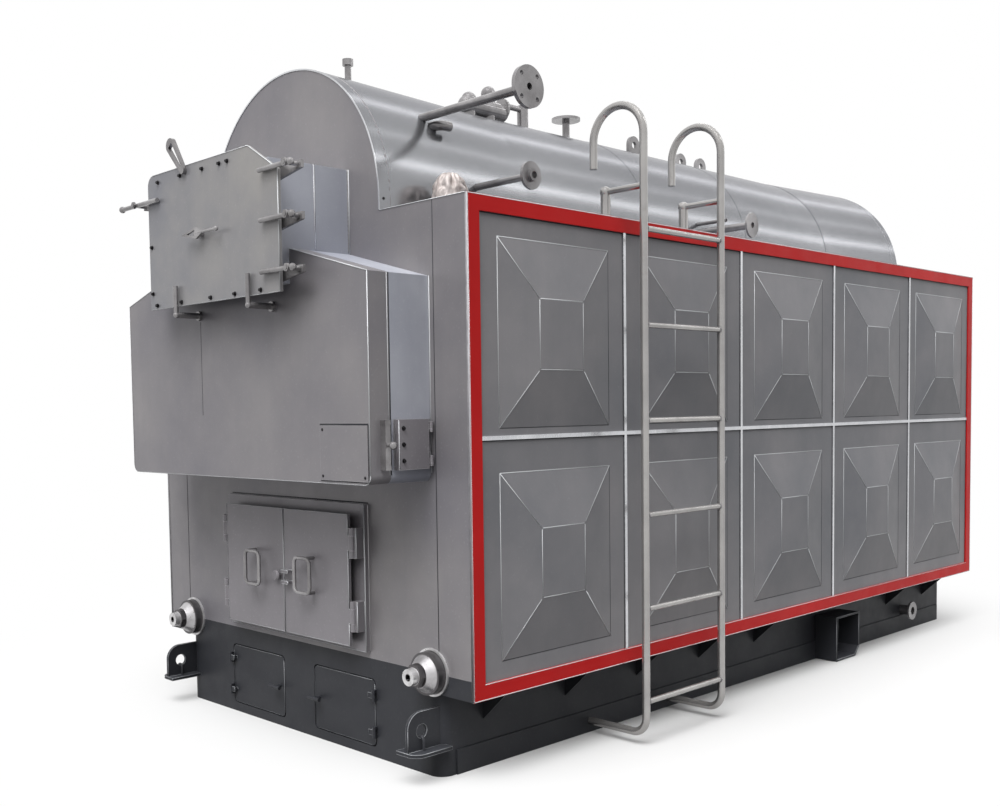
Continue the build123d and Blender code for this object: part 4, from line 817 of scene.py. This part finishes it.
TOP_BOLTS = (-0.409, -0.22, -0.041, 0.091, 0.151)
TOP_INSET = 0.036
LEFT_BOLTS = (2.171, 1.967)
LEFT_INSET = 0.022
BOTTOM_BOLTS = (-0.442, -0.234, 0.001, 0.184, 0.37)
BOTTOM_INSET = 0.016
DOOR_BOLT = (0.0125, 0.008)
# Width of the painted highlight lines, and the x from which they start on the door
HIGHLIGHT_WIDTH = 0.0036
HIGHLIGHT_START = -0.45
SMOKE_SEAM_Y = FRONT - 0.17
SMOKE_SEAM_LOW = 2.085
SMOKE_SEAM = (0.006, 0.0016)


def smoke_door_detail():
    """Small dark bolts along three edges, and thin pale lines along the front edges as painted highlights."""
    places = [(x, DOOR_TOP - TOP_INSET) for x in TOP_BOLTS]
    places += [(LEFT_INSET - DOOR_HALF, z) for z in LEFT_BOLTS]
    places += [(x, DOOR_BOTTOM + BOTTOM_INSET) for x in BOTTOM_BOLTS]
    bm = bmesh.new()
    for x, z in places:
        hex_bolt(bm, (x, DOOR_FRONT, z), FORWARD, *DOOR_BOLT)
    add_object("smoke_door_bolts", bm, BOLT, smooth=False)
    # Painted highlight: pale lines along the door's front edges, right of the start x
    edge_lines("smoke_door_edges", "smoke_door", PALE_HIGHLIGHT, FORWARD, lambda place: place.x > HIGHLIGHT_START,
               HIGHLIGHT_WIDTH)


def smoke_box_seams():
    """Seam up both sides of the smoke box and across its top."""
    bm = bmesh.new()
    y = SMOKE_SEAM_Y
    for side in (-1, 1):
        post(bm, side * SMOKE_HALF, y, SMOKE_SEAM_LOW, SMOKE_TOP, *SMOKE_SEAM, (side, 0, 0))
    bar_between(bm, (-SMOKE_HALF, y, SMOKE_TOP), (SMOKE_HALF, y, SMOKE_TOP), *SMOKE_SEAM, (0, 0, 1))
    add_object("smoke_box_seams", bm, TRIM_AND_HIGHLIGHT)


# Wide front box: seams, painted highlights, access panel and side hatch

BOX_SEAM_LOW = BOX_BOTTOM + 0.034
BOX_JOINT = (0.004, HIGH_LINE)
BOX_LINE = (0.003, HIGH_LINE)
BOX_LINE_SHIFT = 0.008
BOX_WALL_LINE = (0.005, MID_LINE)
BOX_WALL_SHIFT = 0.005
PANEL_SCREW_INSET = 0.016
PANEL_GAP = 0.0025
# Widths of the dark gap along the bottom, right, top and left; the wider top one adds painted shadow to the
# gap
PANEL_GAP_AND_SHADOW_WIDTHS = (0.003, 0.003, 0.008, 0.003)
FAINT_SEAM_X = -0.258
FAINT_SEAM_LOW = 1.426
FAINT_SEAM_HIGH = 1.834
FAINT_SEAM = (0.0025, 0.0005)
HATCH_PLATE = 0.018
HATCH_BOLT_Y = 0.026
HATCH_BOLT_SHARES = (0.18, 0.5, 0.82)
HATCH_BOLT = (0.012, 0.006)
HATCH_EDGE = 0.004
HATCH_STRIP = (0.006, 0.002)


def box_trim():
    """Dark seam between collar and cover; painted highlights: pale lines beside it, at the wall and along the
    front edges.
    """
    dark = bmesh.new()
    bright = bmesh.new()
    for side in (-1, 1):
        x = side * BOX_HALF
        up = (side, 0, 0)
        post(dark, x, BOX_SEAM, BOX_SEAM_LOW, BOX_SHOULDER, *BOX_JOINT, up)
        # Painted highlight beside the seam
        post(bright, x, BOX_SEAM - BOX_LINE_SHIFT, BOX_SEAM_LOW, BOX_SHOULDER, *BOX_LINE, up)
        slope = Vector((side * (BOX_HALF - SMOKE_HALF), 0, BOX_SHOULDER - BOX_TOP))
        up = Vector((0, 1, 0)).cross(slope) * side
        bar_between(dark, (side * SMOKE_HALF, BOX_SEAM, BOX_TOP), (x, BOX_SEAM, BOX_SHOULDER), *BOX_JOINT, up)
        x += side * BOX_WALL_SHIFT
        post(bright, x, FRONT, BOX_SEAM_LOW, BOX_SHOULDER, *BOX_WALL_LINE, FORWARD)
    add_object("box_seams", dark, SEAM_AND_SHADOW_DARK)
    add_object("box_highlights", bright, PALE_HIGHLIGHT)
    # Painted highlight along the box's front edges
    edge_lines("box_edges", "hopper_cover", PALE_HIGHLIGHT, FORWARD, width=HIGHLIGHT_WIDTH)


def access_panel_detail():
    """Three corner screws and the dark gap of the access panel, wider along the top as painted shadow, and a
    faint seam on the box's front.
    """
    low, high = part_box("access_panel")
    screws = bmesh.new()
    left, right = low.x + PANEL_SCREW_INSET, high.x - PANEL_SCREW_INSET
    bottom, top = low.z + PANEL_SCREW_INSET, high.z - PANEL_SCREW_INSET
    for x, z in ((left, bottom), (left, top), (right, bottom)):
        rivet(screws, (x, low.y, z), FORWARD, SCREW_RADIUS)
    dark = bmesh.new()
    y = BOX_FRONT
    left, right = low.x - PANEL_GAP, high.x + PANEL_GAP
    bottom, top = low.z - PANEL_GAP, high.z + PANEL_GAP
    corners = ((left, y, bottom), (right, y, bottom), (right, y, top), (left, y, top))
    for a, b, width in zip(corners, corners[1:] + corners[:1], PANEL_GAP_AND_SHADOW_WIDTHS):
        bar_between(dark, a, b, width, LOW_LINE, FORWARD)
    post(dark, FAINT_SEAM_X, y, FAINT_SEAM_LOW, FAINT_SEAM_HIGH, *FAINT_SEAM, FORWARD)
    add_object("access_panel_screws", screws, BOLT)
    add_object("access_panel_gap_and_shadow", dark, SEAM_AND_SHADOW_DARK)


def hatch_detail():
    """Bolts and bright edge strip on the side hatch plate."""
    low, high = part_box("hatch_door")
    x = low.x + HATCH_PLATE
    out = (1, 0, 0)
    bolts = bmesh.new()
    for share in HATCH_BOLT_SHARES:
        z = low.z + (high.z - low.z) * share
        hex_bolt(bolts, (x, low.y + HATCH_BOLT_Y, z), out, *HATCH_BOLT)
    strip = bmesh.new()
    post(strip, x, low.y + HATCH_EDGE, low.z + HATCH_EDGE, high.z - HATCH_EDGE, *HATCH_STRIP, out)
    add_object("hatch_bolts", bolts, BOLT, body="hatch_door", smooth=False)
    add_object("hatch_edging", strip, TRIM_AND_HIGHLIGHT, body="hatch_door")


# Front and rear walls: sheet seams, and painted highlights along the top edges and beside the smoke box

WALL_SEAM_X = 0.93
WALL_SEAM = (0.0035, LOW_LINE)
WALL_SEAM_INSET = 0.004
REAR_SEAM_INSET = 0.045
WALL_EDGE = (0.004, MID_LINE)
SMOKE_SIDE_HIGHLIGHT = (0.008, HIGH_LINE)
SMOKE_SIDE_HIGHLIGHT_SHIFT = 0.005


def wall_seams():
    """Dark sheet joints; painted highlights: pale top edges beside the drum and pale lines beside the smoke
    box.
    """
    # Painted highlight along the top edges and beside the smoke box
    pale = bmesh.new()
    for side in (-1, 1):
        for y, out in ENDS:
            bar_between(pale, (side * END_RADIUS, y, BODY_TOP), (side * CLAD, y, BODY_TOP), *WALL_EDGE,
                        (0, out, 1))
        x = side * (SMOKE_HALF + SMOKE_SIDE_HIGHLIGHT_SHIFT)
        post(pale, x, FRONT, BOX_TOP, SMOKE_TOP, *SMOKE_SIDE_HIGHLIGHT, FORWARD)
    add_object("wall_edges", pale, PALE_HIGHLIGHT)
    dark = bmesh.new()
    top = BODY_TOP - WALL_SEAM_INSET
    for side in (-1, 1):
        x = side * WALL_SEAM_X
        post(dark, x, FRONT, BASE_TOP + WALL_SEAM_INSET, top, *WALL_SEAM, FORWARD)
        post(dark, x, BACK, BODY_BOTTOM + REAR_SEAM_INSET, top, *WALL_SEAM, BACKWARD)
    add_object("wall_seams", dark, SEAM_AND_SHADOW_DARK)


# Fire and ash doors, tow brackets and air inlet: painted highlights along edges, painted shadow line above
# the fire doors

SHADOW_LINE = 0.007
FRAME_EDGE_WIDTH = 0.004
FRAME_EDGE_REACH = 0.01


def door_edges():
    """Painted highlight: pale edges on the fire doors and their frame, greyer ones on the base's doors,
    brackets and duct. Painted shadow: dark line above the fire frame.
    """
    low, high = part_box("fire_frame")
    # Painted highlight on the frame's right and bottom edges
    edge_lines("fire_frame_edges", "fire_frame", PALE_HIGHLIGHT, FORWARD,
               lambda place: place.x > high.x - FRAME_EDGE_REACH or place.z < low.z + FRAME_EDGE_REACH,
               FRAME_EDGE_WIDTH)
    for side in ("right", "left"):
        name = "fire_door_" + side
        edge_lines(name + "_edges", name, PALE_HIGHLIGHT, FORWARD, body=name)
        name = "ash_door_" + side
        edge_lines(name + "_edges", name, ASH_EDGE_HIGHLIGHT, FORWARD, body=name)
    # Painted shadow above the fire frame
    dark = bmesh.new()
    y = FRONT - FACE_GAP
    z = high.z + SHADOW_LINE / 2
    bar_between(dark, (low.x, y, z), (high.x, y, z), SHADOW_LINE, MID_LINE, FORWARD)
    add_object("fire_frame_shadow", dark, SEAM_AND_SHADOW_DARK)
    edge_lines("tow_edges", "tow_brackets", ASH_EDGE_HIGHLIGHT)
    edge_lines("duct_edges", "air_duct", ASH_EDGE_HIGHLIGHT, (1, 0, 0))


# Rear: bolts of the cleaning cover and the flue flange

COVER_FACE = BACK + 0.014
COVER_INSET = 0.03
COVER_ACROSS = 5
COVER_UPWARD = 4
COVER_BOLT = (0.024, 0.013)
FLUE_BOLTS = 12
FLUE_TURN = 15
FLUE_BOLT = (0.018, 0.009)
FLUE_RIM = 0.02
FLUE_FLANGE = 0.012


def rear_bolts():
    """Bolts round the cleaning cover and behind the flue flange."""
    low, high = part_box("rear_cover")
    left, wide = low.x + COVER_INSET, high.x - low.x - 2 * COVER_INSET
    foot, tall = low.z + COVER_INSET, high.z - low.z - 2 * COVER_INSET
    places = []
    for k in range(COVER_ACROSS):
        x = left + wide * k / (COVER_ACROSS - 1)
        places += [(x, z) for z in (foot, high.z - COVER_INSET)]
    for k in range(1, COVER_UPWARD):
        z = foot + tall * k / COVER_UPWARD
        places += [(x, z) for x in (left, high.x - COVER_INSET)]
    bm = bmesh.new()
    for x, z in places:
        hex_bolt(bm, (x, COVER_FACE, z), BACKWARD, *COVER_BOLT)
    low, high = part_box("flue_outlet")
    centre = (low + high) / 2
    circle = (high.x - low.x) / 2 - FLUE_RIM
    for k in range(FLUE_BOLTS):
        angle = math.radians(FLUE_TURN + 360 / FLUE_BOLTS * k)
        x, z = centre.x + circle * math.cos(angle), centre.z + circle * math.sin(angle)
        hex_bolt(bm, (x, high.y - FLUE_FLANGE, z), FORWARD, *FLUE_BOLT)
    add_object("rear_bolts", bm, BOLT, smooth=False)


# Weld beads

WALL_BEAD_PROUD = 0.001
FRAME_BEAD = 0.0035
SMOKE_BEAD = 0.004
RUNG_BEAD = 0.003
RUNG_RADIUS = 0.012
RUNG_BEAD_RADIUS = 0.013
RUNG_BEAD_SHIFT = 0.003
RUNGS = 6


def welds():
    """Beads round the fire frame, along the smoke box and round both ends of each rung."""
    bm = bmesh.new()
    low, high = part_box("fire_frame")
    y = FRONT - WALL_BEAD_PROUD
    corners = ((low.x, y, low.z), (high.x, y, low.z), (high.x, y, high.z), (low.x, y, high.z))
    bead(bm, corners, FRAME_BEAD, 1.0, closed=True)
    for side in (-1, 1):
        x = side * SMOKE_HALF
        bead(bm, ((x, y, SMOKE_SEAM_LOW), (x, y, SMOKE_TOP)), SMOKE_BEAD, 2.0)
    bead(bm, ((-SMOKE_HALF, y, SMOKE_TOP), (SMOKE_HALF, y, SMOKE_TOP)), SMOKE_BEAD, 3.0)
    add_object("front_welds", bm, WELD)
    bm = bmesh.new()
    front, back = span("ladder_rungs", Y)
    x = sum(span("ladder_rungs", X)) / 2
    lowest, highest = span("ladder_rungs", Z)[0] + RUNG_RADIUS, span("ladder_rungs", Z)[1] - RUNG_RADIUS
    ring = [(RUNG_BEAD_RADIUS * math.cos(t), RUNG_BEAD_RADIUS * math.sin(t)) for t in angles(16)]
    for k in range(RUNGS):
        z = lowest + (highest - lowest) * k / (RUNGS - 1)
        for seed, y in enumerate((front + RUNG_BEAD_SHIFT, back - RUNG_BEAD_SHIFT)):
            bead(bm, [(x + u, y, z + v) for u, v in ring], RUNG_BEAD, k + seed, closed=True)
    add_object("ladder_welds", bm, WELD)


# Lagged stub on the roof: pleated wrapping over the plain solid

WRAP_AROUND = 72
WRAP_UPWARD = 28
PLEATS = 11
PLEAT_DEPTH = 0.016
CRUMPLE_DEPTH = 0.008
WRAP_DIMPLE = 0.006


def lagging():
    """Wrapping with upright pleats that closes in a shallow dimple at the top."""
    low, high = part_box("lagged_stub")
    centre = (low + high) / 2
    size = high - low
    bm = bmesh.new()
    rings = []
    for j in range(WRAP_UPWARD + 1):
        rise = j / WRAP_UPWARD
        close = (1 - 0.8 * rise ** 3.6) ** 0.5
        width = close * size.x / 2
        length = close * size.y / 2
        ring = []
        for angle in angles(WRAP_AROUND):
            point = Vector((centre.x + width * math.cos(angle), centre.y + length * math.sin(angle),
                            low.z + size.z * rise))
            sway = noise.noise(Vector((math.cos(angle) * 2.2, math.sin(angle) * 2.2, rise * 3.0)))
            pleat = abs(math.sin(angle * PLEATS / 2 + sway * 2.4)) ** 0.7
            crease = (1 - pleat) * PLEAT_DEPTH + abs(noise.noise(point * 24)) * CRUMPLE_DEPTH
            inward = Vector((centre.x - point.x, centre.y - point.y, 0)).normalized()
            ring.append(bm.verts.new(point + inward * crease))
        rings.append(ring)
    for lower, upper in zip(rings, rings[1:]):
        skin(bm, lower, upper)
    top = bm.verts.new((centre.x, centre.y - size.y * 0.06, high.z - WRAP_DIMPLE))
    for k in range(WRAP_AROUND):
        bm.faces.new((rings[-1][k], rings[-1][(k + 1) % WRAP_AROUND], top))
    bm.faces.new(list(reversed(rings[0])))
    piece = add_object("lagging_wrap", bm, FOIL)
    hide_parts("lagged_stub")


# Floor, light and camera

FLOOR_RADIUS = 60.0
FLOOR_FADE_NEAR = 1.2
FLOOR_FADE_FAR = 4.0
FLOOR_PALE = 0.42
FLOOR_DULL = 0.08
SKY_KEY = (0.18, -0.40, 0.90)
SKY_KEY_STRENGTH = 20.0
SKY_KEY_POWER = 14.0
SKY_LEVEL = 0.27


def shown(tree):
    """One for rays from the camera, a mirror or glass, which see the white backdrop."""
    path = new_node(tree, "LightPath")
    total = path.outputs["Is Camera Ray"]
    for name in ("Is Glossy Ray", "Is Transmission Ray"):
        larger = new_node(tree, "Math", operation="MAXIMUM")
        tree.links.new(total, larger.inputs[0])
        tree.links.new(path.outputs[name], larger.inputs[1])
        total = larger.outputs[0]
    return total


def floor():
    """Pale floor that fades to the white backdrop away from the object."""
    bm = bmesh.new()
    bmesh.ops.create_circle(bm, cap_ends=True, segments=96, radius=FLOOR_RADIUS)
    mesh = bpy.data.meshes.new("floor")
    bm.to_mesh(mesh)
    bm.free()
    plane = bpy.data.objects.new("floor", mesh)
    SCENE.collection.objects.link(plane)
    material = bpy.data.materials.new("floor_pale")
    material.use_nodes = True
    tree = material.node_tree
    tree.nodes.clear()
    out = new_node(tree, "OutputMaterial")
    mixed = new_node(tree, "MixShader")
    diffuse = new_node(tree, "BsdfDiffuse")
    glow = new_node(tree, "Emission")
    place = new_node(tree, "TexCoord")
    length = new_node(tree, "VectorMath", operation="LENGTH")
    fade = new_node(tree, "MapRange", {"From Min": FLOOR_FADE_NEAR, "From Max": FLOOR_FADE_FAR},
                    interpolation_type="SMOOTHSTEP")
    seen = new_node(tree, "Math", operation="MULTIPLY")
    shade = new_node(tree, "MapRange", {"To Min": FLOOR_DULL, "To Max": FLOOR_PALE})
    total = shown(tree)
    link = tree.links.new
    link(place.outputs["Object"], length.inputs[0])
    link(length.outputs["Value"], fade.inputs["Value"])
    link(fade.outputs["Result"], seen.inputs[0])
    link(total, seen.inputs[1])
    link(total, shade.inputs["Value"])
    link(shade.outputs["Result"], diffuse.inputs["Color"])
    link(seen.outputs[0], mixed.inputs[0])
    link(diffuse.outputs[0], mixed.inputs[1])
    link(glow.outputs[0], mixed.inputs[2])
    link(mixed.outputs[0], out.inputs["Surface"])
    mesh.materials.append(material)


def backdrop():
    """White for the camera, mirrors and glass; for the rest a soft sky with one broad bright side."""
    world = bpy.data.worlds.new("studio")
    SCENE.world = world
    world.use_nodes = True
    tree = world.node_tree
    tree.nodes.clear()
    link = tree.links.new
    out = new_node(tree, "OutputWorld")
    place = new_node(tree, "TexCoord")
    split = new_node(tree, "SeparateXYZ")
    link(place.outputs["Generated"], split.inputs[0])
    dot = new_node(tree, "VectorMath", {1: SKY_KEY}, operation="DOT_PRODUCT")
    link(place.outputs["Generated"], dot.inputs[0])
    result = dot.outputs["Value"]
    for operation, value in (("MAXIMUM", 0.0), ("POWER", SKY_KEY_POWER), ("MULTIPLY", SKY_KEY_STRENGTH),
                             ("ADD", SKY_LEVEL)):
        step = new_node(tree, "Math", {1: value}, operation=operation)
        link(result, step.inputs[0])
        result = step.outputs[0]
    above = new_node(tree, "Math", {1: 0.0}, operation="GREATER_THAN")
    link(split.outputs["Z"], above.inputs[0])
    strength = new_node(tree, "Math", operation="MULTIPLY")
    link(result, strength.inputs[0])
    link(above.outputs[0], strength.inputs[1])
    soft = new_node(tree, "Background", {"Color": (1, 1, 1, 1)})
    link(strength.outputs[0], soft.inputs["Strength"])
    white = new_node(tree, "Background", {"Color": (1, 1, 1, 1)})
    mixed = new_node(tree, "MixShader")
    link(shown(tree), mixed.inputs[0])
    link(soft.outputs[0], mixed.inputs[1])
    link(white.outputs[0], mixed.inputs[2])
    link(mixed.outputs[0], out.inputs["Surface"])


# Each lamp: name, place, point it faces, length, height, brightness against white
LAMPS = (
    ("strip_top", (-0.6, 5.0, 6.3), (0.0, 5.0, 2.3), 10.0, 0.34, 3.4),
    ("strip_high", (1.7, 5.0, 6.2), (0.0, 5.0, 2.3), 10.0, 0.16, 2.5),
    ("strip_side", (3.3, 5.0, 5.3), (0.0, 5.0, 2.3), 10.0, 0.32, 4.5),
    ("back_panel", (6.0, 8.4, 4.3), (-3.0, 4.0, 2.2), 7.0, 2.6, 0.3),
)


def lamps():
    """Long strips that draw streaks along the drum, and a low wide panel behind the right side."""
    for name, place, target, length, height, brightness in LAMPS:
        light = bpy.data.lights.new(name, "AREA")
        light.shape = "RECTANGLE"
        light.size = length
        light.size_y = height
        light.energy = brightness * math.pi * length * height
        lamp = bpy.data.objects.new(name, light)
        SCENE.collection.objects.link(lamp)
        lamp.location = place
        aim = Vector(target) - Vector(place)
        lamp.rotation_euler = aim.to_track_quat("-Z", "Y").to_euler()


# The photograph's camera, solved from its straight edges
FOCAL_PX = 1122.4
CENTRE_PX = (462.4, 474.2)
FRAME_PX = (1000, 806)
CAMERA_PLACE = (4.104, FRONT - 2.893, 1.438)
YAW = math.radians(46.31)
PITCH = math.radians(-3.34)
ROLL = math.radians(-0.85)
SENSOR = 36.0
VIEW_END = 200


def camera():
    """Camera at the photograph's place, with its turn, tilt, roll and shift."""
    data = bpy.data.cameras.new("camera")
    data.sensor_width = SENSOR
    data.lens = SENSOR * FOCAL_PX / FRAME_PX[0]
    data.shift_x = (FRAME_PX[0] / 2 - CENTRE_PX[0]) / FRAME_PX[0]
    data.shift_y = (CENTRE_PX[1] - FRAME_PX[1] / 2) / FRAME_PX[0]
    data.clip_end = VIEW_END
    forward = Vector((-math.sin(YAW) * math.cos(PITCH), math.cos(YAW) * math.cos(PITCH), math.sin(PITCH)))
    level = Vector((math.cos(YAW), math.sin(YAW), 0))
    upright = level.cross(forward)
    right = level * math.cos(ROLL) + upright * math.sin(ROLL)
    up = upright * math.cos(ROLL) - level * math.sin(ROLL)
    shot = bpy.data.objects.new("camera", data)
    SCENE.collection.objects.link(shot)
    shot.matrix_world = Matrix.Translation(CAMERA_PLACE) @ Matrix((right, up, -forward)).transposed().to_4x4()
    SCENE.camera = shot


dress_nodes()
drum_trim()
frame_highlights_and_shadows()
corner_strips()
panel_folds()
strip_shadows()
smoke_door_detail()
smoke_box_seams()
box_trim()
access_panel_detail()
hatch_detail()
wall_seams()
door_edges()
rear_bolts()
welds()
lagging()
floor()
backdrop()
lamps()
camera()
SCENE.view_settings.view_transform = "Standard"
